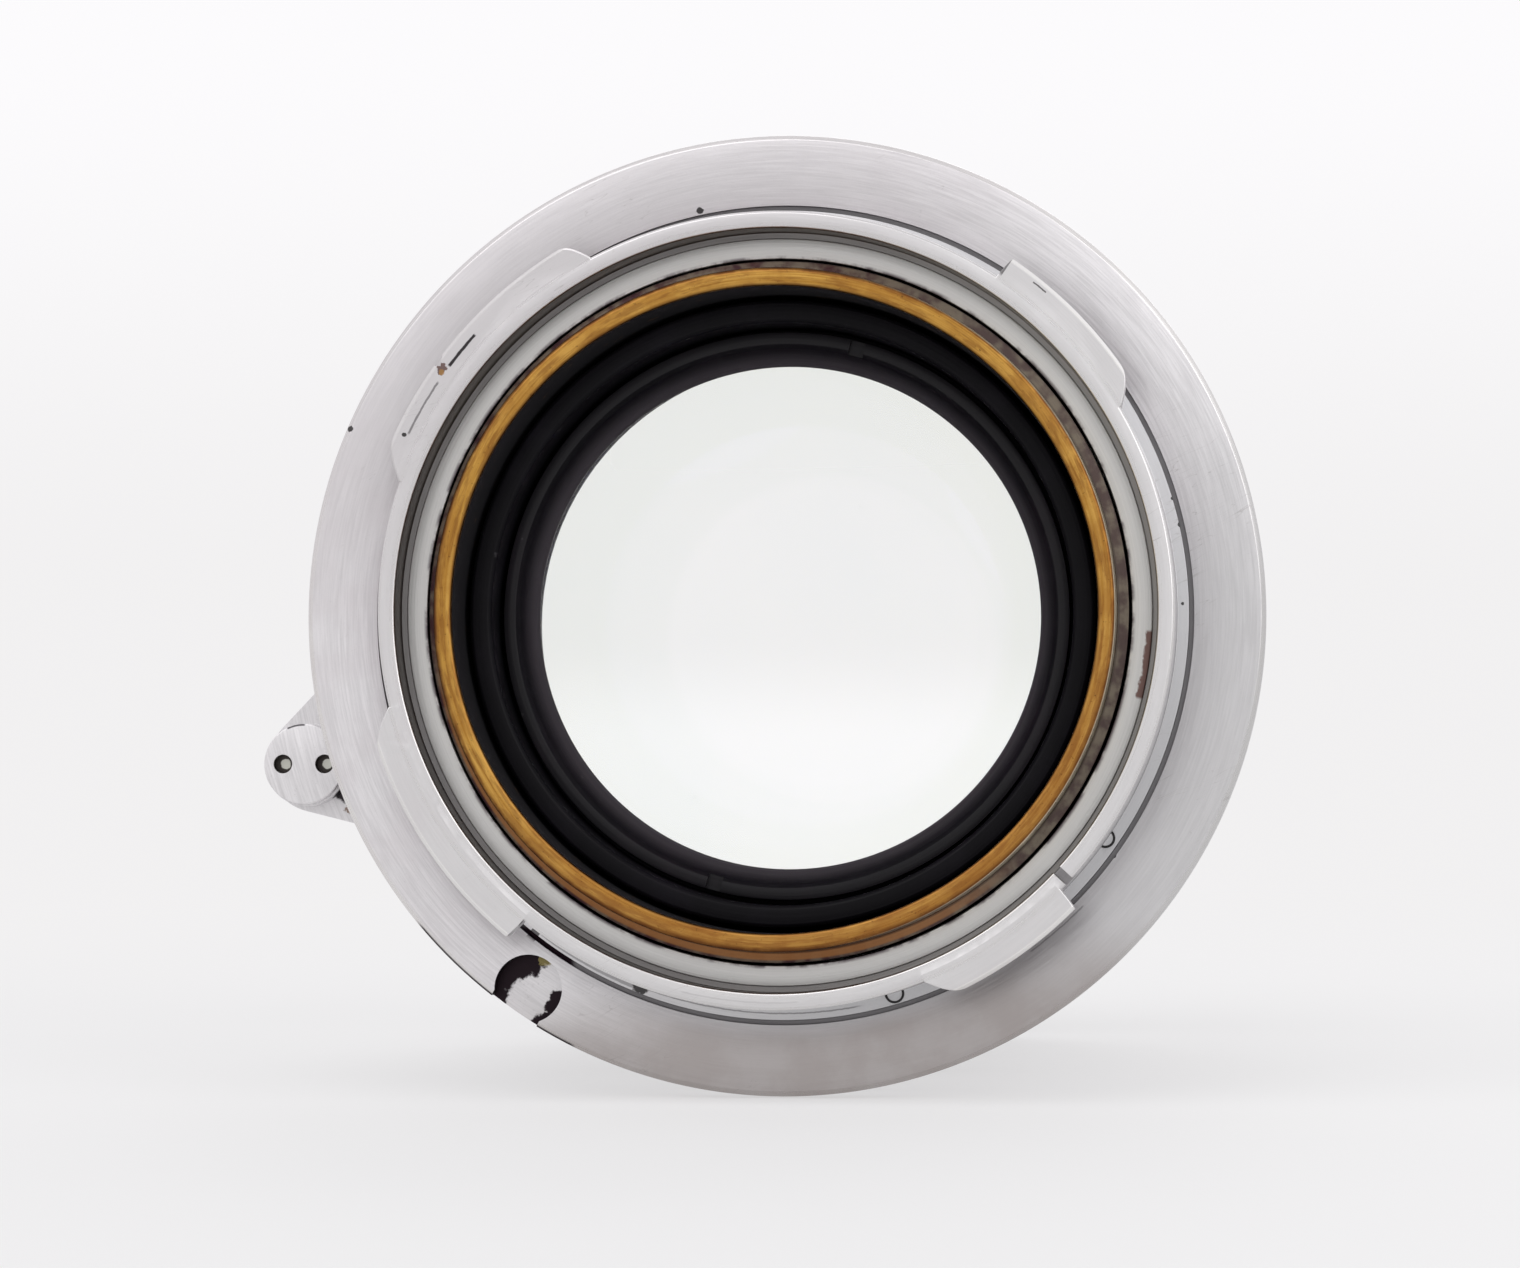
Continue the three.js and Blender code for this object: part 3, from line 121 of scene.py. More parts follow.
def draw_line(corners, closed=True):
    """Draws one line through (x, y) corners in mm, from a single point, and stays in edit mode."""
    clear_selection()
    bpy.ops.mesh.primitive_plane_add(size=MM)
    piece = bpy.context.object
    bpy.ops.object.mode_set(mode="EDIT")
    bpy.ops.mesh.select_all(action="SELECT")
    bpy.ops.mesh.merge(type="CENTER")
    start = Vector((corners[0][0], corners[0][1], 0)) * MM
    bpy.ops.transform.translate(value=start)
    route = list(corners) + ([corners[0]] if closed else [])
    for here, there in zip(route, route[1:]):
        step = Vector((there[0] - here[0], there[1] - here[1], 0)) * MM
        bpy.ops.mesh.extrude_region_move(TRANSFORM_OT_translate={"value": step})
    bpy.ops.mesh.select_all(action="SELECT")
    bpy.ops.mesh.remove_doubles(threshold=0.001 * MM)
    return piece


def name_piece(piece, name):
    piece.name = name
    piece.data.name = name


def round_corners(amount):
    bpy.ops.mesh.select_all(action="SELECT")
    bpy.ops.mesh.bevel(offset=amount * MM, segments=2, affect="VERTICES", clamp_overlap=True)


def close_up():
    """Merges the seams, points the faces outwards and leaves edit mode."""
    bpy.ops.mesh.select_all(action="SELECT")
    bpy.ops.mesh.remove_doubles(threshold=0.001 * MM)
    bpy.ops.mesh.normals_make_consistent(inside=False)
    bpy.ops.object.mode_set(mode="OBJECT")
    bpy.ops.object.shade_smooth_by_angle(angle=math.radians(SMOOTH_ANGLE))


def turned_piece(name, corners, rounding=0.08, steps=160, closed=True):
    """A piece turned about the optical axis from its section."""
    piece = draw_line(corners, closed)
    name_piece(piece, name)
    if rounding:
        round_corners(rounding)
    bpy.ops.mesh.select_all(action="SELECT")
    bpy.ops.mesh.spin(steps=steps, angle=FULL_TURN, center=(0, 0, 0), axis=(0, 1, 0))
    close_up()
    return piece


def arc_piece(name, corners, start, end, steps):
    """A closed bar that follows the lens round and is as long as the way from start to end.

    The spin turns against the angles used here, so the bar runs back from its start angle.
    """
    piece = draw_line(corners)
    name_piece(piece, name)
    bpy.ops.mesh.select_all(action="SELECT")
    bpy.ops.mesh.edge_face_add()
    bpy.ops.mesh.spin(
        steps=steps, angle=math.radians(end - start), center=(0, 0, 0), axis=(0, -1, 0))
    close_up()
    piece.rotation_euler = (0, -math.radians(start), 0)
    settle(piece)
    return piece


def plate(name, outline, rear, front):
    """A flat plate across the axis, from an (x, z) outline in mm and its two places."""
    piece = draw_line(outline)
    name_piece(piece, name)
    bpy.ops.mesh.edge_face_add()
    bpy.ops.mesh.extrude_region_move(TRANSFORM_OT_translate={"value": (0, 0, (front - rear) * MM)})
    close_up()
    piece.matrix_world = Matrix.Translation((0, front * MM, 0)) @ Matrix.Rotation(math.pi / 2, 4, "X")
    settle(piece)
    return piece


def settle(piece):
    """Puts the piece's place into its mesh, so that its object sits at the origin."""
    pick(piece)
    bpy.ops.object.transform_apply(location=True, rotation=True, scale=True)


def swing(piece, angle):
    """Carries a piece from +X round to an angle."""
    piece.matrix_world = Matrix.Rotation(-math.radians(angle), 4, "Y") @ piece.matrix_world
    settle(piece)
    return piece


def lay_radial(piece, angle, place):
    """Lays a piece that was turned about the axis along a radius, at a place on the lens."""
    lay = Matrix.Rotation(-math.pi / 2, 4, "Z")
    turn = Matrix.Rotation(-math.radians(angle), 4, "Y")
    piece.matrix_world = turn @ Matrix.Translation((0, place * MM, 0)) @ lay
    settle(piece)
    return piece


def cylinder(radius, length, centre, lie, angle, sides):
    """A cylinder in mm that lies as it is turned, swung to an angle."""
    clear_selection()
    bpy.ops.mesh.primitive_cylinder_add(
        vertices=sides, radius=radius * MM, depth=length * MM,
        location=[value * MM for value in centre], rotation=lie)
    return swing(bpy.context.object, angle)


def round_bar(radius, rear, front, reach=0.0, angle=0.0, sides=64):
    """A cylinder along the optical axis, for cutting or welding."""
    centre = (reach, (rear + front) / 2, 0.0)
    return cylinder(radius, front - rear, centre, (math.pi / 2, 0, 0), angle, sides)


def radial_bar(radius, inner, outer, angle, place):
    """A cylinder along a radius of the lens, for cutting or welding."""
    centre = ((inner + outer) / 2, place, 0.0)
    return cylinder(radius, outer - inner, centre, (0, math.pi / 2, 0), angle, 40)


def block(size, centre, angle=0.0, tilt=0.0):
    """A block in mm, for cutting or welding, tilted about its own centre and swung to an angle."""
    clear_selection()
    bpy.ops.mesh.primitive_cube_add(
        size=MM, location=[value * MM for value in centre], rotation=(0, -math.radians(tilt), 0),
        scale=size)
    return swing(bpy.context.object, angle)


def shape_with(piece, other, operation):
    pick(piece)
    modifier = piece.modifiers.new("shape", "BOOLEAN")
    modifier.operation = operation
    modifier.solver = "MANIFOLD"
    modifier.object = other
    bpy.ops.object.modifier_apply(modifier="shape")
    bpy.data.objects.remove(other)


def cut_away(piece, *cutters):
    for cutter in cutters:
        shape_with(piece, cutter, "DIFFERENCE")
    smooth(piece)
    return piece


def weld_on(piece, *additions):
    for addition in additions:
        shape_with(piece, addition, "UNION")
    smooth(piece)
    return piece


def smooth(piece):
    pick(piece)
    bpy.ops.object.shade_smooth_by_angle(angle=math.radians(SMOOTH_ANGLE))


def break_edges(piece, width, sharper_than=40):
    """Breaks the sharp edges with a small bevel."""
    pick(piece)
    modifier = piece.modifiers.new("edges", "BEVEL")
    modifier.width = width * MM
    modifier.segments = 2
    modifier.limit_method = "ANGLE"
    modifier.angle_limit = math.radians(sharper_than)
    modifier.harden_normals = False
    bpy.ops.object.modifier_apply(modifier="edges")
    smooth(piece)


def join_pieces(name, pieces):
    clear_selection()
    for piece in pieces:
        piece.select_set(True)
    bpy.context.view_layer.objects.active = pieces[0]
    if len(pieces) > 1:
        bpy.ops.object.join()
    joined = bpy.context.object
    name_piece(joined, name)
    return joined


def fit(piece, body, slot, material, *nodes):
    """Dresses a finished piece, lets it ride on its body and stand for its CAD nodes."""
    piece.data.materials.clear()
    piece.data.materials.append(material)
    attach(piece, body)
    if nodes:
        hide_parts(*nodes)
    return piece


def polar(radius, angle):
    turn = math.radians(angle)
    return radius * math.cos(turn), radius * math.sin(turn)


def arc_points(radius, start, end, steps, centre=(0, 0)):
    """Points on a circle from one angle to another."""
    points = []
    for step in range(steps + 1):
        x, z = polar(radius, start + (end - start) * step / steps)
        points.append((centre[0] + x, centre[1] + z))
    return points


# Node boards

class Board:
    """The nodes of one material, world or node group."""

    def __init__(self, tree):
        self.tree = tree

    def add(self, kind, **settings):
        node = self.tree.nodes.new(kind)
        for name, value in settings.items():
            setattr(node, name, value)
        return node

    def feed(self, socket, value):
        """Sets an input to a plain value, or joins it to another node's output."""
        if isinstance(value, bpy.types.NodeSocket):
            self.tree.links.new(value, socket)
        else:
            socket.default_value = value

    def math(self, operation, *values):
        node = self.add("ShaderNodeMath", operation=operation)
        for socket, value in zip(node.inputs, values):
            self.feed(socket, value)
        return node.outputs[0]

    def vector(self, operation, *values):
        node = self.add("ShaderNodeVectorMath", operation=operation)
        for socket, value in zip(node.inputs, values):
            self.feed(socket, value)
        return node.outputs["Value" if operation in ("LENGTH", "DISTANCE", "DOT_PRODUCT") else "Vector"]

    def scaled(self, vector, amount):
        node = self.add("ShaderNodeVectorMath", operation="SCALE")
        self.feed(node.inputs["Vector"], vector)
        self.feed(node.inputs["Scale"], amount)
        return node.outputs["Vector"]

    def blend(self, share, first, second, mode="MIX"):
        """Blends two colours."""
        node = self.add("ShaderNodeMix", data_type="RGBA", blend_type=mode, clamp_result=True)
        self.feed(node.inputs["Factor"], share)
        colours = [socket for socket in node.inputs if socket.type == "RGBA"]
        for socket, value in zip(colours, (first, second)):
            self.feed(socket, value if isinstance(value, bpy.types.NodeSocket) else (*value, 1.0))
        return [socket for socket in node.outputs if socket.type == "RGBA"][0]

    def ramp(self, value, low, high, to_low=0.0, to_high=1.0):
        """Eases a value from one range into another."""
        node = self.add("ShaderNodeMapRange", interpolation_type="SMOOTHSTEP")
        for socket, amount in zip(node.inputs, (value, low, high, to_low, to_high)):
            self.feed(socket, amount)
        return node.outputs[0]

    def noise(self, vector, detail=2.0, roughness=0.5, distortion=0.0):
        node = self.add("ShaderNodeTexNoise")
        self.feed(node.inputs["Vector"], vector)
        self.feed(node.inputs["Scale"], 1.0)
        self.feed(node.inputs["Detail"], detail)
        self.feed(node.inputs["Roughness"], roughness)
        self.feed(node.inputs["Distortion"], distortion)
        return node.outputs[0]

    def place(self):
        """A point's place on the object in millimetres."""
        return self.scaled(self.add("ShaderNodeTexCoord").outputs["Object"], 1000.0)

    def axes(self, place):
        """The X, Y and Z outputs of a place."""
        node = self.add("ShaderNodeSeparateXYZ")
        self.feed(node.inputs[0], place)
        return node.outputs

    def use(self, group, **values):
        """Places a node group and gives it its values."""
        node = self.add("ShaderNodeGroup", node_tree=group)
        for name, value in values.items():
            self.feed(node.inputs[name.replace("_", " ")], value)
        return node.outputs[0]

    def paint(self, tone, mask, colour, amount=1.0):
        """Lays a colour over another where a mask says."""
        return self.blend(self.math("MULTIPLY", mask, amount), tone, colour)

    def both(self, *masks):
        """Where all the masks are."""
        whole = masks[0]
        for mask in masks[1:]:
            whole = self.math("MULTIPLY", whole, mask)
        return whole

    def band(self, value, low, high, soft=0.03):
        """One between two values, with soft ends."""
        return self.both(
            self.ramp(value, low - soft, low + soft), self.ramp(value, high + soft, high - soft))

    def vector_noise(self, vector, scale):
        node = self.add("ShaderNodeTexNoise")
        self.feed(node.inputs["Vector"], vector)
        self.feed(node.inputs["Scale"], scale)
        return self.vector("SUBTRACT", node.outputs["Color"], (0.5, 0.5, 0.5))

    def grey(self, value):
        """A grey colour from one value."""
        node = self.add("ShaderNodeCombineColor")
        for socket in node.inputs[:3]:
            self.feed(socket, value)
        return node.outputs[0]

    def bump(self, height, distance, strength=1.0):
        node = self.add("ShaderNodeBump")
        self.feed(node.inputs["Height"], height)
        self.feed(node.inputs["Distance"], distance)
        self.feed(node.inputs["Strength"], strength)
        return node.outputs[0]


def start_group(name, output, **inputs):
    """A node group with named inputs and one output."""
    tree = bpy.data.node_groups.new(name, "ShaderNodeTree")
    for label, value in inputs.items():
        kind = "NodeSocketVector" if isinstance(value, tuple) else "NodeSocketFloat"
        socket = tree.interface.new_socket(label.replace("_", " "), in_out="INPUT", socket_type=kind)
        socket.default_value = value
    tree.interface.new_socket(output, in_out="OUTPUT", socket_type="NodeSocketFloat")
    board = Board(tree)
    return board, board.add("NodeGroupInput").outputs, board.add("NodeGroupOutput").inputs[0]


def distance_from_axis(board, place):
    across = board.vector("MULTIPLY", place, (1.0, 0.0, 1.0))
    return board.vector("LENGTH", across)


def make_turned_lines():
    """Fine lines that a lathe tool leaves round the axis."""
    board, given, result = start_group("turned_lines", "Lines", Fineness=6.0, Streak=0.12)
    place = board.place()
    axes = board.axes(place)
    radius = distance_from_axis(board, place)
    across = board.math("ADD", radius, board.math("MULTIPLY", axes["Y"], 0.73))
    join = board.add("ShaderNodeCombineXYZ")
    board.feed(join.inputs["X"], board.math("MULTIPLY", axes["X"], given["Streak"]))
    board.feed(join.inputs["Y"], board.math("MULTIPLY", across, given["Fineness"]))
    board.feed(join.inputs["Z"], board.math("MULTIPLY", axes["Z"], given["Streak"]))
    board.feed(result, board.noise(join.outputs[0], detail=3.0, roughness=0.65))
    return board.tree


def make_patches():
    """Soft uneven patches, such as haze and handling marks."""
    board, given, result = start_group("patches", "Patches", Size=6.0, Low=0.45, High=0.65)
    finer = board.math("DIVIDE", 1.0, given["Size"])
    cloud = board.noise(board.scaled(board.place(), finer), detail=5.0, roughness=0.6)
    board.feed(result, board.ramp(cloud, given["Low"], given["High"]))
    return board.tree


def make_specks():
    """Small specks of dirt or lost plating, gathered in groups."""
    board, given, result = start_group("specks", "Specks", Spacing=1.0, Size=0.2, Gathering=0.55)
    finer = board.math("DIVIDE", 1.0, given["Spacing"])
    place = board.scaled(board.place(), finer)
    ragged = board.vector("ADD", place, board.scaled(board.vector_noise(place, 3.0), 0.35))
    cells = board.add("ShaderNodeTexVoronoi")
    board.feed(cells.inputs["Vector"], ragged)
    board.feed(cells.inputs["Scale"], 1.0)
    near = board.ramp(cells.outputs["Distance"], given["Size"], board.math("MULTIPLY", given["Size"], 0.55))
    where = board.noise(board.scaled(place, 0.23), detail=2.0)
    gate = board.ramp(where, given["Gathering"], board.math("ADD", given["Gathering"], 0.06))
    board.feed(result, board.math("MULTIPLY", near, gate))
    return board.tree


def make_edge_wear():
    """Wear along one turned edge, broken up by noise."""
    board, given, result = start_group("edge_wear", "Wear", Radius=20.0, Place=0.0, Width=0.3)
    place = board.place()
    axes = board.axes(place)
    out = board.math("SUBTRACT", distance_from_axis(board, place), given["Radius"])
    along = board.math("SUBTRACT", axes["Y"], given["Place"])
    square = board.math("ADD", board.math("MULTIPLY", out, out), board.math("MULTIPLY", along, along))
    away = board.math("DIVIDE", board.math("SQRT", square), given["Width"])
    broken = board.noise(board.scaled(place, 1.1), detail=4.0, roughness=0.7)
    board.feed(result, board.ramp(board.math("SUBTRACT", away, broken), 0.45, 0.0))
    return board.tree


def make_spot():
    """One ragged mark at a place on the piece."""
    board, given, result = start_group(
        "spot", "Spot", Centre=(0.0, 0.0, 0.0), Radius=0.5, Raggedness=0.5, Scale=3.0)
    place = board.place()
    ragged = board.noise(board.scaled(place, given["Scale"]), detail=4.0, roughness=0.7)
    shift = board.math("MULTIPLY", board.math("SUBTRACT", ragged, 0.5), given["Raggedness"])
    away = board.math("DIVIDE", board.vector("DISTANCE", place, given["Centre"]), given["Radius"])
    board.feed(result, board.ramp(board.math("ADD", away, shift), 1.0, 0.8))
    return board.tree


def make_scratches():
    """Thin scratches that run one way across a face of the lens."""
    board, given, result = start_group(
        "scratches", "Scratches", Turn=(0.0, 0.0, 0.0), Fineness=9.0, Length=0.5, Amount=0.02)
    turned = board.add("ShaderNodeMapping")
    board.feed(turned.inputs["Vector"], board.place())
    board.feed(turned.inputs["Rotation"], given["Turn"])
    axes = board.axes(turned.outputs[0])
    join = board.add("ShaderNodeCombineXYZ")
    board.feed(join.inputs["X"], board.math("MULTIPLY", axes["X"], given["Length"]))
    board.feed(join.inputs["Y"], axes["Y"])
    board.feed(join.inputs["Z"], board.math("MULTIPLY", axes["Z"], given["Fineness"]))
    lines = board.noise(join.outputs[0], detail=1.0, distortion=0.2)
    off_middle = board.math("ABSOLUTE", board.math("SUBTRACT", lines, 0.5))
    board.feed(result, board.ramp(off_middle, given["Amount"], 0.0))
    return board.tree


def make_arc_mark():
    """A mark that follows a circle round the axis, ragged along its sides."""
    board, given, result = start_group(
        "arc_mark", "Mark", Radius=20.0, Width=0.1, Middle=0.0, Reach=5.0, Place=0.0, Raggedness=0.1)
    place = board.place()
    axes = board.axes(place)
    ragged = board.math("SUBTRACT", board.noise(board.scaled(place, 2.2), detail=4.0, roughness=0.7), 0.5)
    out = board.math("SUBTRACT", distance_from_axis(board, place), given["Radius"])
    out = board.math("ADD", out, board.math("MULTIPLY", ragged, given["Raggedness"]))
    turn = board.math("MULTIPLY", board.math("ARCTAN2", axes["Z"], axes["X"]), 180 / math.pi)
    turn = board.math("WRAP", board.math("SUBTRACT", turn, given["Middle"]), 180.0, -180.0)
    turn = board.math("DIVIDE", board.math("ABSOLUTE", turn), given["Reach"])
    across = board.math("DIVIDE", board.math("ABSOLUTE", out), given["Width"])
    along = board.math("ABSOLUTE", board.math("SUBTRACT", axes["Y"], given["Place"]))
    inside = board.both(
        board.ramp(across, 1.0, 0.6), board.ramp(turn, 1.0, 0.9), board.ramp(along, 0.35, 0.3))
    board.feed(result, inside)
    return board.tree


turned_lines = make_turned_lines()
patches = make_patches()
specks = make_specks()
arc_mark = make_arc_mark()
edge_wear = make_edge_wear()
spot = make_spot()
scratches = make_scratches()


def finish_surface(board, shader, tone, roughness, bump):
    for label, value in (("Base Color", tone), ("Roughness", roughness), ("Normal", bump)):
        board.feed(shader.inputs[label], value)


def start_material(name, **constants):
    """A material with one Principled shader and its plain values."""
    material = bpy.data.materials.new(name)
    material.use_nodes = True
    board = Board(material.node_tree)
    shader = material.node_tree.nodes["Principled BSDF"]
    for label, value in constants.items():
        shader.inputs[label.replace("_", " ")].default_value = value
    return material, board, shader


# Finishes

def make_satin_chrome(name, colour=(0.68, 0.675, 0.685), haze=(0.58, 0.555, 0.57), edges=()):
    """Satin chrome on brass: fine turned lines, haze, handling marks and bright worn edges."""
    material, board, shader = start_material(name, Metallic=1.0)
    lines = board.use(turned_lines, Fineness=9.0, Streak=0.35)
    broad = board.use(turned_lines, Fineness=1.6, Streak=0.12)
    hazy = board.use(patches, Size=9.0, Low=0.42, High=0.72)
    tone = board.blend(board.math("MULTIPLY", hazy, 0.55), colour, haze)
    lighter = board.ramp(lines, 0.25, 0.75, 0.88, 1.08)
    shade = board.math("MULTIPLY", lighter, board.ramp(broad, 0.2, 0.8, 0.97, 1.03))
    tone = board.blend(1.0, tone, board.grey(shade), mode="MULTIPLY")
    grain = board.noise(board.scaled(board.place(), 7.0), detail=4.0, roughness=0.8)
    tone = board.paint(tone, board.ramp(grain, 0.56, 0.75), (0.35, 0.335, 0.34), 0.35)
    wear_and_shade = 0.0
    for radius, place, width in edges:
        wear = board.use(edge_wear, Radius=radius, Place=place, Width=width)
        wear_and_shade = board.math("MAXIMUM", wear_and_shade, wear)
    if edges:
        tone = board.paint(tone, wear_and_shade, (0.78, 0.76, 0.73), 0.5)
    board.feed(shader.inputs["Base Color"], tone)
    rough = board.ramp(lines, 0.2, 0.8, 0.34, 0.46)
    if edges:
        rough = board.math("SUBTRACT", rough, board.math("MULTIPLY", wear_and_shade, 0.12))
    board.feed(shader.inputs["Roughness"], rough)
    board.feed(shader.inputs["Normal"], board.bump(lines, 0.012 * MM, 0.5))
    return material, board, shader, tone


def paint_spots(board, tone, spots):
    """Paints ragged spots, each (centre, radius, raggedness, scale, colour, amount), over a colour."""
    for centre, size, raggedness, scale, colour, amount in spots:
        mark = board.use(spot, Centre=centre, Radius=size, Raggedness=raggedness, Scale=scale)
        tone = board.paint(tone, mark, colour, amount)
    return tone


def add_spots(board, mask, spots, raggedness, scale):
    """Adds ragged spots, each a centre and a radius, to a mask."""
    for centre, size in spots:
        added = board.use(spot, Centre=centre, Radius=size, Raggedness=raggedness, Scale=scale)
        mask = board.math("MAXIMUM", mask, added)
    return mask


def make_flange_chrome():
    """The bayonet's chrome, with the marks that years of mounting have left, and painted shade and shadows
    in its grooves, gaps and lower right.
    """
    material, board, shader, tone = make_satin_chrome(
        "flange_chrome", colour=(0.745, 0.73, 0.74), haze=(0.67, 0.64, 0.655),
        edges=[(25.2, 0.1, 0.25), (20.65, -5.15, 0.16), (19.95, REAR_FACE, 0.2)])
    place = board.place()
    axes = board.axes(place)
    radius = distance_from_axis(board, place)
    behind = board.ramp(axes["Y"], -3.0, -4.6)
    # The rear faces of the tube and the lugs are polished, and their edges more so
    tone = board.paint(tone, behind, (0.64, 0.63, 0.63), 0.8)
    lug_edge = board.both(board.ramp(radius, 21.66, 21.74), board.ramp(axes["Y"], -4.8, -4.95))
    tone = board.paint(tone, lug_edge, (0.86, 0.85, 0.83), 0.6)
    # A pinkish cast on the left of the flange
    left = board.ramp(axes["X"], -12.0, -24.0)
    cast = board.use(patches, Size=3.5, Low=0.35, High=0.7)
    tone = board.paint(tone, board.both(left, cast), (0.64, 0.595, 0.61), 0.4)
    # Painted shade, greyer towards the upper left
    upper_left_shade = board.ramp(board.vector("DOT_PRODUCT", place, (-0.5, 0.0, 0.86)), 6.0, 22.0)
    tone = board.paint(tone, upper_left_shade, (0.58, 0.555, 0.565), 0.6)
    # Painted shade: dull grey towards the lower right, brown at the very bottom
    lower = board.vector("DOT_PRODUCT", place, (0.7, 0.0, -0.7))
    lower_right_shade = board.both(board.ramp(lower, 2.0, 17.0), board.ramp(axes["Y"], -2.0, -0.5))
    tone = board.paint(tone, lower_right_shade, (0.45, 0.45, 0.452), 0.55)
    low = board.vector("DOT_PRODUCT", place, (0.12, 0.0, -1.0))
    bottom_shade = board.both(
        board.ramp(low, 17.5, 22.5), board.ramp(cast, -2.4, 1.0), board.ramp(radius, 21.3, 22.5))
    tone = board.paint(tone, bottom_shade, (0.33, 0.29, 0.275), 0.74)
    # Painted shade on the ledge between the tube and the groove, darker to the right
    ledge = board.both(board.band(radius, 20.72, 21.3), board.ramp(axes["Y"], -0.3, -0.1))
    wear_and_shade = board.ramp(axes["X"], -6.0, 12.0, 0.25, 0.72)
    tone = board.paint(tone, board.both(ledge, wear_and_shade), (0.42, 0.42, 0.43))
    # Painted shade in the groove and on the tube's bore, lighter to the right
    groove = board.both(board.band(radius, 21.3, 21.56, 0.02), board.ramp(axes["Y"], 0.01, 0.06))
    tone = board.paint(tone, groove, (0.16, 0.155, 0.16), 0.95)
    bore = board.ramp(radius, 19.88, 19.83)
    bore_shade = board.blend(board.ramp(axes["X"], -8.0, 12.0), (0.16, 0.153, 0.15), (0.22, 0.212, 0.205))
    tone = board.paint(tone, bore, bore_shade, 0.97)
    # Dark marks that follow the circle, as (radius, half width, middle, half reach, place, amount):
    # scratches, a dash, painted shadows and thin lines
    marks = [
        # Scratches on the upper left lug
        (21.22, 0.10, 140.2, 3.0, REAR_FACE, 0.95), (21.2, 0.07, 150.0, 4.4, REAR_FACE, 0.6),
        # A dark dash on the upper right lug, and a painted shadow on the ledge inside the groove at the
        # lower left
        (21.55, 0.05, 50.2, 1.2, REAR_FACE, 0.8), (21.05, 0.16, 240.5, 8.0, 0.0, 0.45),
        # Painted shadow at the end of the lower left lug, on its face and on the ledge beside it
        (21.3, 0.75, 231.1, 0.22, REAR_FACE, 0.85), (21.2, 0.55, 231.9, 0.7, 0.0, 0.8),
        # Painted shadow at the end of the upper right lug, on its face and on the ledge beside it
        (21.35, 0.6, 55.7, 0.25, REAR_FACE, 0.7), (21.3, 0.5, 56.4, 0.35, 0.0, 0.6),
        # Painted shade on the floor of the key slot
        (20.75, 1.3, 317.2, 1.5, -3.2, 0.55),
        # Thin dark lines on the tube's rear face and on the flange by the tube and the groove
        (20.95, 0.05, 262.0, 20.0, 0.0, 0.5), (20.3, 0.05, 265.0, 9.0, REAR_FACE, 0.12),
        (21.95, 0.05, 311.0, 5.0, -0.05, 0.45), (20.85, 0.06, 187.0, 7.0, -0.05, 0.5),
    ]
    for mark in marks:
        laid = board.use(arc_mark, **dict(zip(("Radius", "Width", "Middle", "Reach", "Place"), mark)))
        tone = board.paint(tone, laid, (0.02, 0.016, 0.018), mark[-1])
    # Rust in the nick of the upper left lug
    tone = paint_spots(board, tone, [
        ((-17.3, REAR_FACE, 12.65), 0.3, 2.6, 2.4, (0.10, 0.04, 0.03), 0.85),
        ((-17.35, REAR_FACE, 12.45), 0.17, 1.6, 3.0, (0.36, 0.20, 0.07), 0.8)])
    # The cuts of the punched circles are painted near black
    for _, angle in PUNCHED_CIRCLES:
        x, z = polar(20.72, angle)
        inside = board.use(spot, Centre=(x, 0.1, z), Radius=0.62, Raggedness=0.0, Scale=1.0)
        cut = board.both(inside, board.ramp(axes["Y"], 0.02, 0.06))
        tone = board.paint(tone, cut, NEAR_BLACK, 0.95)
    # Black chips and dings round the flange, as (centre, radius)
    chips = [
        ((20.45, 0.0, 5.95), 0.1), ((20.85, 0.0, 4.6), 0.15), ((20.95, 0.0, 0.45), 0.09),
        ((-23.05, 0.1, 9.95), 0.2), ((-7.5, 0.0, -19.5), 0.5), ((17.3, 0.0, -12.7), 0.16),
        ((-19.31, REAR_FACE, 9.19), 0.13), ((-4.4, 0.0, 21.35), 0.2),
    ]
    tone = paint_spots(board, tone, [(*chip, 1.2, 4.2, NEAR_BLACK, 0.92) for chip in chips])
    # Worn black paint in the lock recess
    in_recess = board.both(
        board.ramp(axes["Y"], 0.08, 0.2), board.ramp(axes["Y"], 1.5, 1.3),
        board.ramp(axes["Z"], -16.0, -16.6), board.ramp(axes["X"], -10.9, -11.3))
    clean = board.use(spot, Centre=(-13.45, 1.2, -20.05), Radius=1.25, Raggedness=1.2, Scale=1.1)
    worn_through = [((-12.15, 1.2, -19.1), 1.0), ((-14.0, 1.2, -20.6), 0.95)]
    clean = add_spots(board, clean, worn_through, raggedness=1.1, scale=1.5)
    still_black = [((-12.1, 1.2, -20.15), 0.42), ((-12.4, 1.2, -20.65), 0.42), ((-12.65, 1.2, -21.25), 0.36)]
    black = add_spots(board, board.math("SUBTRACT", 1.0, clean), still_black, raggedness=1.3, scale=1.6)
    tone = board.paint(tone, board.both(in_recess, black), (0.011, 0.005, 0.008), 0.985)
    grease = board.use(spot, Centre=(-12.75, 1.2, -18.2), Radius=0.34, Raggedness=2.2, Scale=3.0)
    tone = board.paint(tone, board.both(grease, in_recess), (0.30, 0.25, 0.10), 0.75)
    # Scuffs run round the flange
    scuffs = board.use(scratches, Turn=(0.0, 0.5, 0.0), Fineness=3.0, Length=0.25, Amount=0.008)
    where = board.use(patches, Size=12.0, Low=0.52, High=0.62)
    tone = board.paint(tone, board.both(scuffs, where), (0.25, 0.23, 0.22), 0.35)
    board.feed(shader.inputs["Base Color"], tone)
    return material


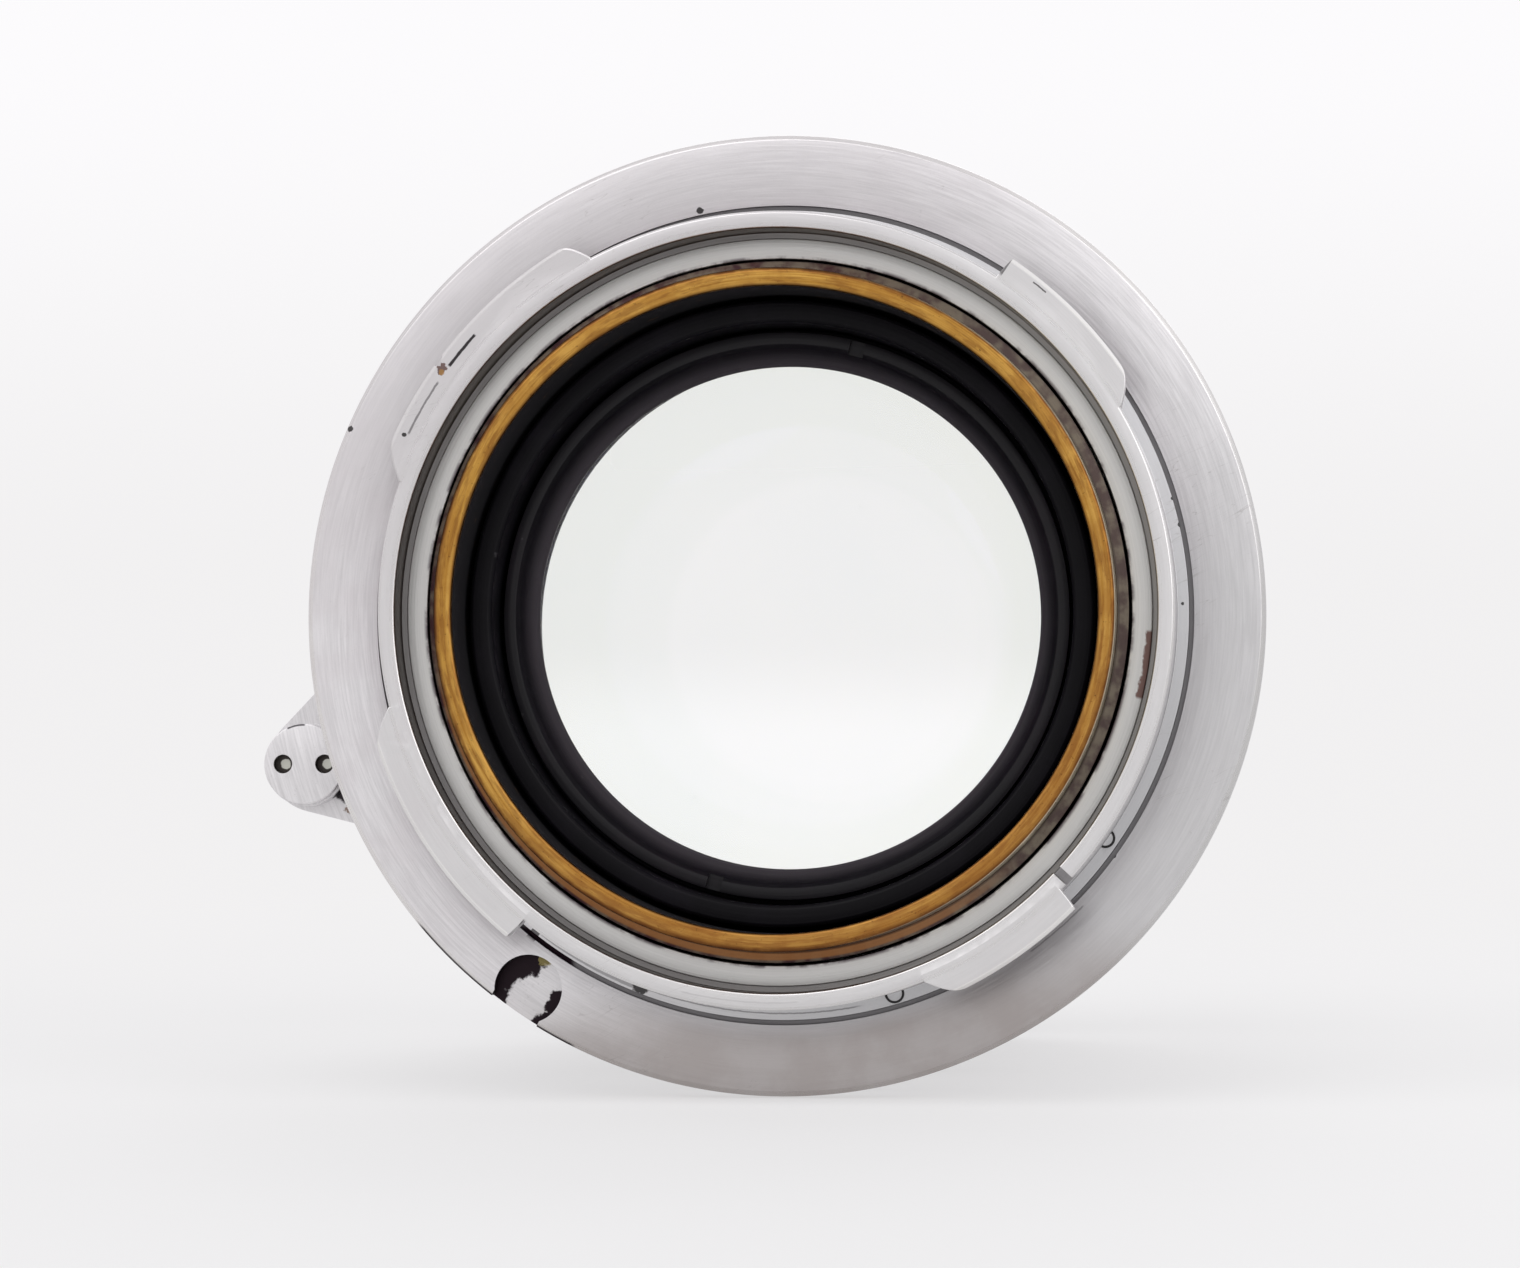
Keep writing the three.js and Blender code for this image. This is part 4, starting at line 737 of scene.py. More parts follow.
def make_lever_chrome():
    """The lever's chrome, with a painted shadow where the nut meets the arm and a brown stain below it."""
    material, board, shader, tone = make_satin_chrome(
        "lever_chrome", colour=(0.74, 0.725, 0.735), haze=(0.66, 0.64, 0.65))
    wedge_x, wedge_z = polar(26.05, LEVER_ANGLE + 4.6)
    stain_x, stain_z = polar(25.95, LEVER_ANGLE + 6.4)
    # A painted shadow where the nut meets the arm, and a brown stain below it
    tone = paint_spots(board, tone, [
        ((wedge_x, 6.4, wedge_z), 0.75, 0.9, 1.3, (0.02, 0.014, 0.018), 0.96),
        ((stain_x, 6.8, stain_z), 0.5, 2.4, 2.6, (0.16, 0.085, 0.045), 0.8)])
    board.feed(shader.inputs["Base Color"], tone)
    return material


NUT_CENTRE = (polar(LEVER_REACH, LEVER_ANGLE)[0], 0.0, polar(LEVER_REACH, LEVER_ANGLE)[1])


def make_nut_chrome():
    """The nut's chrome, with painted shade in its spanner holes and at its edge."""
    material, board, shader, tone = make_satin_chrome(
        "nut_chrome", colour=(0.76, 0.745, 0.755), haze=(0.70, 0.68, 0.69))
    place = board.place()
    axes = board.axes(place)
    # Painted shade on the walls of the spanner holes
    deep = board.ramp(axes["Y"], 4.88, 4.98)
    flat = board.vector("MULTIPLY", place, (1.0, 0.0, 1.0))
    inside = board.ramp(board.vector("DISTANCE", flat, NUT_CENTRE), 2.0, 1.95)
    tone = board.paint(tone, board.both(deep, inside), (0.03, 0.024, 0.02), 0.97)
    # The bottoms of the spanner holes catch a little light
    tone = paint_spots(board, tone, [
        ((NUT_CENTRE[0] + side + 0.06, 5.45, NUT_CENTRE[2] + 0.02), 0.3, 0.7, 3.0, (0.62, 0.62, 0.56), 0.9)
        for side in SPANNER_HOLE_SIDES])
    # Painted shade at the nut's upper left edge
    dash = board.use(spot, Centre=(-26.85, 4.85, -5.6), Radius=0.6, Raggedness=0.8, Scale=1.6)
    rim = board.ramp(board.vector("DISTANCE", flat, NUT_CENTRE), 2.03, 2.08)
    tone = board.paint(tone, board.both(dash, rim), (0.03, 0.025, 0.03), 0.9)
    board.feed(shader.inputs["Base Color"], tone)
    return material


def make_grey_metal():
    """Matt turned metal of the fixed sleeve, dirty towards the brass."""
    material, board, shader = start_material("turned_grey", Metallic=1.0)
    lines = board.use(turned_lines, Fineness=9.0, Streak=0.1)
    tone = board.blend(board.ramp(lines, 0.3, 0.7), (0.60, 0.595, 0.58), (0.68, 0.675, 0.66))
    radius = distance_from_axis(board, board.place())
    grime = board.use(patches, Size=1.7, Low=0.4, High=0.58)
    tone = board.paint(tone, board.both(grime, board.ramp(radius, 18.66, 18.46)), (0.05, 0.028, 0.045), 0.8)
    # Painted shade on the sides of the ring, down in the gaps, and rust stains its edge at the right
    axes = board.axes(board.place())
    tone = board.paint(tone, board.ramp(axes["Y"], -2.86, -2.8), (0.09, 0.085, 0.085), 0.85)
    rust = board.use(arc_mark, Radius=19.42, Width=0.3, Middle=351.5, Reach=5.5, Place=-2.8, Raggedness=0.5)
    tone = board.paint(tone, rust, (0.12, 0.035, 0.02), 0.85)
    finish_surface(board, shader, tone, board.ramp(lines, 0.2, 0.8, 0.36, 0.5),
                   board.bump(lines, 0.012 * MM, 0.5))
    return material


def make_brass():
    """Bare turned brass: golden face, brown tarnish at its edges, black paint inside the barrel."""
    material, board, shader = start_material("coupling_brass", Specular_IOR_Level=0.12)
    place = board.place()
    axes = board.axes(place)
    radius = distance_from_axis(board, place)
    lines = board.use(turned_lines, Fineness=8.0, Streak=0.08)
    tone = board.blend(board.ramp(lines, 0.3, 0.7), (0.46, 0.235, 0.045), (0.62, 0.36, 0.09))
    tarnish = board.use(patches, Size=2.2, Low=0.4, High=0.62)
    tone = board.paint(tone, tarnish, (0.30, 0.12, 0.022), 0.45)
    strokes = board.ramp(board.use(turned_lines, Fineness=3.5, Streak=0.5), 0.45, 0.62)
    tone = board.paint(tone, strokes, (0.20, 0.075, 0.02), 0.5)
    # Painted shade: browner and darker towards the bottom
    low = board.ramp(board.vector("DOT_PRODUCT", place, (0.35, 0.0, -0.9)), 0.0, 15.0)
    tone = board.paint(tone, low, (0.28, 0.105, 0.03), 0.42)
    # Brown line at the outer edge of the rim, and a darker one at its inner edge
    outer = board.ramp(radius, 17.35, 17.62)
    streaky = board.use(patches, Size=1.2, Low=0.3, High=0.6)
    streak_share = board.math("ADD", 0.45, board.math("MULTIPLY", streaky, 0.5))
    tone = board.paint(tone, outer, (0.13, 0.045, 0.014), streak_share)
    inner = board.ramp(radius, 16.95, 16.78)
    tone = board.paint(tone, inner, (0.12, 0.05, 0.015), 0.7)
    dirt = board.ramp(board.noise(board.scaled(place, 4.5), detail=5.0, roughness=0.75), 0.6, 0.68)
    tone = board.paint(tone, dirt, (0.05, 0.022, 0.012), 0.7)
    # The side of the rim is paler where it has been rubbed
    right = board.ramp(axes["X"], 2.0, 13.0)
    tone = board.paint(tone, board.both(board.ramp(radius, 17.6, 17.66), right), (0.74, 0.66, 0.50), 0.85)
    # The step outside the rim is stained dark, with a painted shadow at the foot of the rim's wall, and
    # brown-gold below
    stained = board.both(board.ramp(radius, 17.69, 17.72), board.ramp(axes["Y"], -3.6, -3.3))
    stain_and_shadow = board.blend(board.ramp(board.noise(board.scaled(place, 1.4), detail=4.0), 0.35, 0.65),
                        (0.035, 0.018, 0.024), (0.115, 0.095, 0.075))
    beneath = board.ramp(board.vector("DOT_PRODUCT", place, (-0.35, 0.0, -0.93)), 7.0, 13.0)
    beneath = board.both(beneath, board.ramp(radius, 18.2, 18.08))
    stain_and_shadow = board.paint(stain_and_shadow, beneath, (0.27, 0.12, 0.045), 0.85)
    # Painted shadow at the foot of the rim's wall
    stain_and_shadow = board.paint(stain_and_shadow, board.ramp(radius, 17.83, 17.76), (0.02, 0.012, 0.014), 0.7)
    tone = board.paint(tone, stained, stain_and_shadow, 0.93)
    # Paint covers the bore
    painted = board.ramp(radius, 16.83, 16.79)
    wear_and_shade = board.use(patches, Size=0.9, Low=0.62, High=0.7)
    front = board.ramp(axes["Y"], -5.5, -5.35)
    whole = board.math("SUBTRACT", 1.0, board.math("MULTIPLY", wear_and_shade, 0.25))
    paint = board.both(painted, front, whole)
    tone = board.blend(paint, tone, (0.017, 0.016, 0.018))
    board.feed(shader.inputs["Base Color"], tone)
    board.feed(shader.inputs["Metallic"], board.math("SUBTRACT", 1.0, paint))
    polish = board.ramp(lines, 0.2, 0.8, 0.26, 0.4)
    rough = board.add("ShaderNodeMix", data_type="FLOAT")
    board.feed(rough.inputs["Factor"], paint)
    board.feed(rough.inputs["A"], polish)
    board.feed(rough.inputs["B"], 0.55)
    board.feed(shader.inputs["Roughness"], rough.outputs[0])
    board.feed(shader.inputs["Normal"], board.bump(lines, 0.015 * MM, 0.6))
    return material


def make_black_metal(name, colour, sheen_colour, roughness, specular, sheen_radius=0.0):
    """Semi-matt black on turned metal, with a painted sheen towards one radius."""
    material, board, shader = start_material(name, Specular_IOR_Level=specular)
    lines = board.use(turned_lines, Fineness=6.0, Streak=0.1)
    rubbed = board.use(patches, Size=4.0, Low=0.45, High=0.75)
    tone = board.blend(board.math("MULTIPLY", rubbed, 0.6), colour, sheen_colour)
    if sheen_radius:
        # Painted sheen near that radius
        radius = distance_from_axis(board, board.place())
        near = board.ramp(board.math("ABSOLUTE", board.math("SUBTRACT", radius, sheen_radius)), 0.75, 0.0)
        tone = board.paint(tone, near, (0.085, 0.074, 0.084), 0.85)
    dust = board.use(specks, Spacing=1.3, Size=0.09, Gathering=0.58)
    tone = board.paint(tone, dust, (0.12, 0.115, 0.12), 0.3)
    finish_surface(board, shader, tone, board.ramp(lines, 0.2, 0.8, roughness, roughness + 0.14),
                   board.bump(lines, 0.02 * MM, 0.6))
    return material


def make_steel(name, colour, roughness):
    """Steel with fine lines and a touch of dirt."""
    material, board, shader = start_material(name, Metallic=1.0)
    lines = board.use(turned_lines, Fineness=12.0, Streak=0.5)
    stained = board.use(patches, Size=1.4, Low=0.5, High=0.7)
    tone = board.blend(board.math("MULTIPLY", stained, 0.5), colour, [value * 0.45 for value in colour])
    finish_surface(board, shader, tone, board.ramp(lines, 0.2, 0.8, roughness, roughness + 0.15),
                   board.bump(lines, 0.008 * MM, 0.5))
    return material


def make_enamel(name, colour):
    """Gloss enamel with a few scuffs."""
    material, board, shader = start_material(name, Coat_Weight=0.5, Coat_Roughness=0.08)
    uneven = board.use(patches, Size=0.8, Low=0.4, High=0.7)
    tone = board.blend(board.math("MULTIPLY", uneven, 0.5), colour, [value * 0.5 for value in colour])
    board.feed(shader.inputs["Base Color"], tone)
    scuffed = board.use(specks, Spacing=0.5, Size=0.2, Gathering=0.5)
    board.feed(shader.inputs["Roughness"], board.ramp(scuffed, 0.0, 1.0, 0.22, 0.5))
    board.feed(shader.inputs["Normal"], board.bump(uneven, 0.01 * MM, 0.3))
    return material


def make_figure_fill(name, colour):
    """Paint in engraved figures, thin in places."""
    material, board, shader = start_material(name)
    thin = board.use(patches, Size=0.5, Low=0.5, High=0.75)
    tone = board.blend(board.math("MULTIPLY", thin, 0.35), colour, (0.18, 0.17, 0.16))
    finish_surface(board, shader, tone, board.ramp(thin, 0.0, 1.0, 0.5, 0.65),
                   board.bump(thin, 0.01 * MM, 0.4))
    return material


def make_coated_glass(name, refraction, coating):
    """Polished glass with a blue or amber coating and a little dust."""
    material, board, shader = start_material(
        name, Metallic=0.0, Transmission_Weight=1.0, IOR=refraction, Specular_Tint=(*coating, 1.0))
    dust = board.use(specks, Spacing=3.0, Size=0.035, Gathering=0.5)
    clear = board.use(patches, Size=7.0, Low=0.3, High=0.8)
    tone = board.blend(clear, (1.0, 1.0, 1.0), (0.985, 0.992, 0.995))
    tone = board.paint(tone, dust, (0.72, 0.72, 0.73), 0.25)
    board.feed(shader.inputs["Base Color"], tone)
    board.feed(shader.inputs["Roughness"], board.ramp(dust, 0.0, 1.0, 0.0, 0.12))
    return material


flange_chrome = make_flange_chrome()
satin_chrome = make_satin_chrome("satin_chrome")[0]
ring_chrome = make_satin_chrome(
    "ring_chrome", edges=[(24.2, 6.4, 0.2), (24.2, 18.1, 0.2), (23.3, 20.6, 0.2), (23.3, 30.3, 0.2)])[0]
sleeve_chrome = make_satin_chrome("sleeve_chrome", edges=[(22.8, 30.85, 0.2), (23.1, 48.3, 0.25)])[0]
lever_chrome = make_lever_chrome()
nut_chrome = make_nut_chrome()
turned_grey = make_grey_metal()
coupling_brass = make_brass()
cell_black = make_black_metal("cell_black", (0.0052, 0.0046, 0.006), (0.011, 0.009, 0.013), 0.36, 0.1)
ring_black = make_black_metal(
    "ring_black", (0.006, 0.005, 0.007), (0.014, 0.009, 0.014), 0.34, 0.25, sheen_radius=13.45)
trim_black = make_black_metal("trim_black", (0.014, 0.014, 0.015), (0.03, 0.029, 0.03), 0.4, 0.4)
screw_steel = make_steel("screw_steel", (0.45, 0.45, 0.46), 0.24)
blade_steel = make_steel("blade_steel", (0.06, 0.06, 0.068), 0.34)
red_enamel = make_enamel("red_enamel", (0.50, 0.02, 0.012))
black_fill = make_figure_fill("black_fill", (0.012, 0.012, 0.012))
red_fill = make_figure_fill("red_fill", (0.42, 0.02, 0.015))
rear_coated_glass = make_coated_glass("rear_coated_glass", 1.67, (0.12, 0.10, 0.24))
inner_coated_glass = make_coated_glass("inner_coated_glass", 1.65, (0.16, 0.11, 0.16))
front_coated_glass = make_coated_glass("front_coated_glass", 1.67, (0.10, 0.12, 0.30))


# Bayonet

def make_flange():
    """Register disc and tube, with four lugs, a lock recess and the groove round the tube.

    A ledge in the tube's bore, coloured with painted shade, meets the rear end of the sleeve.
    """
    flange = turned_piece("flange_with_tube", [
        (19.48, -2.8), (19.8, -2.8), (19.8, -5.1), (19.9, REAR_FACE), (20.58, REAR_FACE),
        (TUBE_RADIUS, -5.08), (TUBE_RADIUS, 0.0), (21.3, 0.0), (21.3, 0.4), (21.56, 0.4), (21.56, 0.0),
        (25.05, 0.0), (FLANGE_RADIUS, 0.25), (FLANGE_RADIUS, 1.8), (25.1, 2.0), (19.8, 2.0),
        (19.8, -2.2), (19.48, -2.2),
    ], rounding=0.03, steps=240)
    weld_on(flange, *[make_lug(**lug) for lug in LUGS])
    recess = weld_on(
        round_bar(1.8, -0.5, 1.2, 23.85, 235.6),
        block((2.4, 1.7, 2.9), (24.9, 0.35, 0.0), 235.6))
    key_slot = block((2.0, 2.6, 0.5), (20.6, -4.5, 0.0), 317.3)
    nick = block((0.34, 1.0, 0.7), (21.9, -5.0, 0.0), 143.2, 30)
    holes = [round_bar(0.75, 0.45, 2.5, FLANGE_SCREW_REACH, angle, 24) for angle in FLANGE_SCREW_ANGLES]
    punched = [ring_cutter(0.52, 0.13, -0.1, 0.12, *circle) for circle in PUNCHED_CIRCLES]
    lug_chamfer = turned_piece(
        "chamfer", [(21.6, -5.35), (22.3, -5.35), (22.3, -4.65)], rounding=0.0, steps=240)
    cut_away(flange, recess, key_slot, nick, lug_chamfer, *holes, *punched)
    return fit(flange, "mount", "satin_chrome", flange_chrome, "bayonet_flange")


def ring_cutter(radius, width, rear, front, reach, angle):
    """A thin ring along the axis, for cutting a circle into a face."""
    ring = turned_piece("circle", [
        (radius - width, rear), (radius, rear), (radius, front), (radius - width, front),
    ], rounding=0.0, steps=48)
    ring.location.x = reach * MM
    settle(ring)
    return swing(ring, angle)


def lug_ramp(foot, length):
    """Points of a lug's ramp, from its foot on the tube up to the lug's edge."""
    low = TUBE_RADIUS + 0.02
    steps = 12
    points = []
    for step in range(steps + 1):
        rise = math.sin(step / steps * math.pi / 2)
        points.append(polar(low + (LUG_RADIUS - low) * rise, foot + length * step / steps))
    return points


def make_lug(start, end, start_ramp, end_ramp):
    """A lug whose outer edge rises and falls along its ramps."""
    outline = lug_ramp(start, start_ramp)
    outline += arc_points(LUG_RADIUS, start + start_ramp + 0.5, end - end_ramp - 0.5, 36)
    outline += reversed(lug_ramp(end, -end_ramp))
    outline += arc_points(20.3, end, start, 36)
    lug = plate("lug", outline, REAR_FACE, -3.8)
    break_edges(lug, 0.09, 50)
    return lug


def make_sleeve():
    """Fixed sleeve: its rear end is the grey ring between the bayonet and the brass."""
    sleeve = turned_piece("sleeve_with_shoulder", [
        (18.4, -2.85), (18.45, -2.9), (19.46, -2.9), (19.5, -2.86), (19.5, 2.0), (22.4, 2.0),
        (22.4, 3.6), (19.5, 3.6), (19.5, 14.9), (18.4, 14.9),
    ], rounding=0.02)
    slots = [block((3.0, 6.3, 2.7), (18.95, 9.8, 0.0), angle) for angle in FOLLOWER_ANGLES]
    holes = [round_bar(0.75, 1.5, 4.1, FLANGE_SCREW_REACH, angle, 24) for angle in FLANGE_SCREW_ANGLES]
    cut_away(sleeve, *slots, *holes)
    return fit(sleeve, "mount", "grey_metal", turned_grey, "fixed_sleeve")


def make_depth_ring():
    """Ring with the depth scale, the alignment bead and the infinity catch on it."""
    ring = turned_piece("depth_ring", [
        (22.7, 2.0), (24.9, 2.0), (24.9, 2.6), (24.5, 6.0), (22.7, 6.0),
    ], rounding=0.08)
    bead_hole = radial_bar(1.0, 23.3, 25.4, BEAD_ANGLE, 4.0)
    screw_hole = radial_bar(0.65, 23.5, 25.4, CATCH_ANGLE, CATCH_SCREW_PLACE)
    cut_away(ring, bead_hole, screw_hole)
    fit(ring, "mount", "satin_chrome", ring_chrome, "depth_scale_ring")
    bead = turned_piece("bead", [
        (0.0, 23.6), (0.9, 23.6), (0.9, 24.5), (0.84, 24.68), (0.68, 24.84), (0.45, 24.94),
        (0.22, 24.99), (0.0, 25.0),
    ], rounding=0.0, steps=40, closed=False)
    lay_radial(bead, BEAD_ANGLE, 4.0)
    fit(bead, "mount", "red_enamel", red_enamel, "alignment_bead")


def slotted_screw(name, corners, angle, place, slot_width, slot_depth, slot_turn=20.0):
    """A screw along a radius, with a slot across its head."""
    screw = turned_piece(name, corners, rounding=0.05, steps=48, closed=False)
    top = corners[-1][1]
    reach = corners[-2][0]
    slot = block(
        (2.6 * reach, 2 * slot_depth, slot_width), (0.0, top, 0.0), tilt=slot_turn)
    cut_away(screw, slot)
    return lay_radial(screw, angle, place)


def make_catch():
    """Infinity catch: finger on the depth ring and a bar at its front end."""
    # Both arcs run back from their starts, so the bar points away from the lever
    catch = arc_piece("catch", [(25.05, 2.9), (25.55, 2.9), (25.55, 12.8), (25.05, 12.8)],
                      CATCH_ANGLE - 2.7, CATCH_ANGLE + 2.7, steps=10)
    bar = arc_piece("catch_bar", [(25.05, 11.6), (25.55, 11.6), (25.55, 12.8), (25.05, 12.8)],
                    CATCH_ANGLE + 1.2, CATCH_ANGLE + 14.1, steps=22)
    weld_on(catch, bar)
    hole = radial_bar(0.65, 24.7, 26.4, CATCH_ANGLE, CATCH_SCREW_PLACE)
    counterbore = radial_bar(0.95, 25.1, 26.4, CATCH_ANGLE, CATCH_SCREW_PLACE)
    cut_away(catch, hole, counterbore)
    break_edges(catch, 0.06)
    fit(catch, "mount", "satin_chrome", satin_chrome, "infinity_catch")
    screw = slotted_screw("catch_fixing", [
        (0.0, 23.7), (0.5, 23.7), (0.5, 25.25), (0.8, 25.25), (0.8, 25.55), (0.0, 25.55),
    ], CATCH_ANGLE, CATCH_SCREW_PLACE, 0.22, 0.16)
    fit(screw, "mount", "steel", screw_steel, "catch_screw")


# Focus ring and lever

def make_focus_ring():
    """Focus ring with a fluted grip and a channel in its bore for the follower pins."""
    ring = turned_piece("grip_ring", [
        (19.8, 6.3), (24.1, 6.3), (FOCUS_RING_RADIUS, 6.5), (FOCUS_RING_RADIUS, 9.95), (24.1, 10.05),
        (24.1, 10.2), (FOCUS_RING_RADIUS, 10.3), (FOCUS_RING_RADIUS, 15.6), (24.1, 15.7), (24.1, 15.85),
        (FOCUS_RING_RADIUS, 15.95), (FOCUS_RING_RADIUS, 18.03), (24.1, 18.23),
        (22.9, 18.23), (22.9, 13.3), (19.8, 13.3), (19.8, 12.7), (21.6, 12.7), (21.6, 6.9), (19.8, 6.9),
    ], rounding=0.05, steps=200)
    flutes = [round_bar(5.84, 10.3, 15.6, 29.64, 5.58 + 360 / 20 * count, 96) for count in range(20)]
    holes = [radial_bar(0.65, 22.5, 24.8, angle, SADDLE_SCREW_PLACE) for angle in SADDLE_SCREW_ANGLES]
    cut_away(ring, join_pieces("flutes", flutes), *holes)
    return fit(ring, "focusing", "satin_chrome", ring_chrome, "focus_ring")


def make_lever():
    """Focus lever: a saddle on the ring and a teardrop arm that ends in a round boss."""
    # The saddle runs back from its start, so it lies beside the arm instead of under it
    lever = arc_piece(
        "saddle_with_arm", [(24.6, 6.8), (25.8, 6.8), (25.8, 9.0), (24.6, 9.0)], -13.0, 13.0, steps=40)
    side = arc_points(2.7, 59.5, -59.5, 24, (27.0, 0.0))
    # The side towards the infinity catch keeps the narrower outline near the ring
    eased = [(24.0, -4.7), (25.58, -3.72), (25.68, -3.9)]
    arm = plate("arm", [*eased, *reversed(side), (24.0, 4.9)], 6.8, 9.0)
    boss = round_bar(2.25, 5.6, 10.4, LEVER_REACH, sides=80)
    weld_on(lever, arm, boss)
    ring_room = round_bar(24.6, 6.0, 9.8, sides=200)
    chamber = round_bar(1.5, 5.0, 9.4, LEVER_REACH, sides=48)
    stem_hole = round_bar(0.75, 9.0, 11.0, LEVER_REACH, sides=32)
    holes = [radial_bar(0.65, 24.0, 26.5, angle, SADDLE_SCREW_PLACE)
             for angle in (-SADDLE_SCREW_SPREAD, SADDLE_SCREW_SPREAD)]
    cut_away(lever, ring_room, chamber, stem_hole, *holes)
    break_edges(lever, 0.12)
    swing(lever, LEVER_ANGLE)
    fit(lever, "focusing", "satin_chrome", lever_chrome, "focus_lever")
    for number, angle in enumerate(SADDLE_SCREW_ANGLES, start=1):
        screw = slotted_screw(f"saddle_screw_{number}", [
            (0.0, 22.7), (0.5, 22.7), (0.5, 25.8), (0.7, 25.8), (0.7, 26.02), (0.62, 26.1), (0.0, 26.1),
        ], angle, SADDLE_SCREW_PLACE, 0.24, 0.18, 35.0 * number)
        fit(screw, "focusing", "steel", screw_steel, f"lever_screw_{number}")


def make_nut():
    """Lever nut: a flat disc with two spanner holes."""
    nut = turned_piece("spanner_nut", [
        (0.0, 4.8), (2.11, 4.8), (2.15, 4.84), (2.15, 5.6), (1.2, 5.6), (1.2, 6.1), (0.0, 6.1),
    ], rounding=0.015, steps=80, closed=False)
    for side in SPANNER_HOLE_SIDES:
        hole = round_bar(0.5, 4.0, 5.45, side, sides=40)
        sink = turned_piece("sink", [(0.0, 4.86), (0.48, 4.86), (0.56, 4.7), (0.0, 4.7)],
                            rounding=0.0, steps=40, closed=False)
        sink.location.x = side * MM
        settle(sink)
        cut_away(nut, hole, sink)
    x, z = polar(LEVER_REACH, LEVER_ANGLE)
    nut.location = (x * MM, 0, z * MM)
    settle(nut)
    return fit(nut, "focusing", "satin_chrome", nut_chrome, "lever_nut")


def make_button():
    """Lock button: domed head, stem, collar and the tongue that meets the catch."""
    button = turned_piece("button_head", [
        (0.0, 8.55), (1.2, 8.55), (1.2, 9.25), (0.6, 9.25), (0.6, 11.9), (1.65, 11.9), (1.65, 12.9),
        (1.5, 13.2), (1.1, 13.42), (0.6, 13.5), (0.0, 13.5),
    ], rounding=0.06, steps=64, closed=False)
    button.location.x = LEVER_REACH * MM
    settle(button)
    tongue = block((1.9, 0.8, 1.4), (25.7, 12.3, 0.0))
    break_edges(tongue, 0.1)
    weld_on(button, tongue)
    cut_away(button, *[ring_cutter(radius, 0.12, 13.3, 13.7, LEVER_REACH, 0.0) for radius in (0.61, 1.01)])
    swing(button, LEVER_ANGLE)
    return fit(button, "lock", "satin_chrome", satin_chrome, "lock_button")


# Head

def make_barrel():
    """Brass coupling barrel, with holes for the follower pins."""
    barrel = turned_piece("brass_barrel", [
        (16.75, -5.68), (16.87, -5.8), (17.52, -5.8), (17.7, -5.62), (17.7, -3.2), (18.28, -3.2),
        (18.28, -2.8), (18.1, -2.6), (18.1, 16.89), (16.75, 16.89),
    ], rounding=0.05, steps=200)
    cut_away(barrel, *[radial_bar(0.95, 16.0, 18.8, angle, 10.17) for angle in FOLLOWER_ANGLES])
    return fit(barrel, "head", "brass", coupling_brass, "coupling_barrel")


def make_shell():
    """Head shell, with a window in its wall."""
    shell = turned_piece("shell", [
        (16.75, 16.89), (22.6, 16.89), (22.6, 20.23), (20.9, 20.23), (20.9, 41.96), (20.0, 41.96),
        (20.0, 18.59), (16.75, 18.59),
    ], rounding=0.06)
    # The window runs back from its start, so it lies beside the way of the drive screw
    window = arc_piece("window", [(19.4, 21.03), (21.4, 21.03), (21.4, 22.73), (19.4, 22.73)],
                       316.6, 365.4, steps=30)
    cut_away(shell, window)
    return fit(shell, "head", "satin_chrome", satin_chrome, "head_shell")


def make_rear_cell():
    """Black cell of the rear glasses, with a stepped mouth."""
    cell = turned_piece("rear_cell_turned", [
        (15.3, -1.0), (15.5, -1.2), (16.3, -1.2), (16.45, -1.05), (16.45, 18.59), (19.7, 18.59),
        (19.7, 19.79), (16.45, 19.79), (16.45, 20.22), (14.6, 20.22), (14.6, 22.32), (12.9, 22.32),
        (12.9, 11.16), (12.9, 11.0), (14.0, 8.0), (14.1, 7.16), (14.3, 7.16), (14.3, 3.4),
        (15.3, 3.4),
    ], rounding=0.05, steps=200)
    return fit(cell, "head", "black_metal", cell_black, "rear_cell")


def make_rear_ring():
    """Ring that holds the rear glass: a flared bore with fine baffle steps and two key slots."""
    ring = turned_piece("rear_ring_turned", [
        (14.4, 1.5), (15.0, 1.5), (15.0, 3.1), (14.0, 3.1), (14.0, 5.48), (13.92, 5.48), (13.38, 3.9),
        (13.38, 3.65), (13.5, 3.3), (13.72, 2.88), (13.7, 2.84), (13.94, 2.42), (13.92, 2.38), (14.16, 1.96),
        (14.14, 1.92),
    ], rounding=0.015, steps=200)
    slots = [block((1.4, 0.9, 0.8), (14.9, 1.4, 0.0), angle) for angle in (75, 255)]
    cut_away(ring, *slots)
    return fit(ring, "head", "black_metal", ring_black, "rear_retaining_ring")


def sag(curve, radius):
    """How far a spherical face falls back between its vertex and a radius."""
    if curve == 0:
        return 0.0
    size = abs(curve)
    return math.copysign(size - math.sqrt(size * size - radius * radius), curve)


def face_points(vertex, curve, half, steps=14):
    """Section of one polished face, from the axis outwards."""
    return [(half * step / steps, vertex + sag(curve, half * step / steps)) for step in range(steps + 1)]


def make_glass(name, half, rear, front, material, nodes, rear_half=None, front_half=None):
    """A glass or a cemented pair, from its rear and front (vertex, curve)."""
    corners = face_points(*rear, rear_half or half)
    edge_rear = corners[-1][1]
    forward = face_points(*front, front_half or half)
    edge_front = forward[-1][1]
    if rear_half:
        corners.append((half, edge_rear))
    corners += [(half, edge_rear + 0.12), (half, edge_front - 0.12)]
    if front_half:
        corners.append((half, edge_front))
    corners += list(reversed(forward))
    glass = turned_piece(name, corners, rounding=0.0, steps=96, closed=False)
    return fit(glass, "head", "optical_glass", material, *nodes)


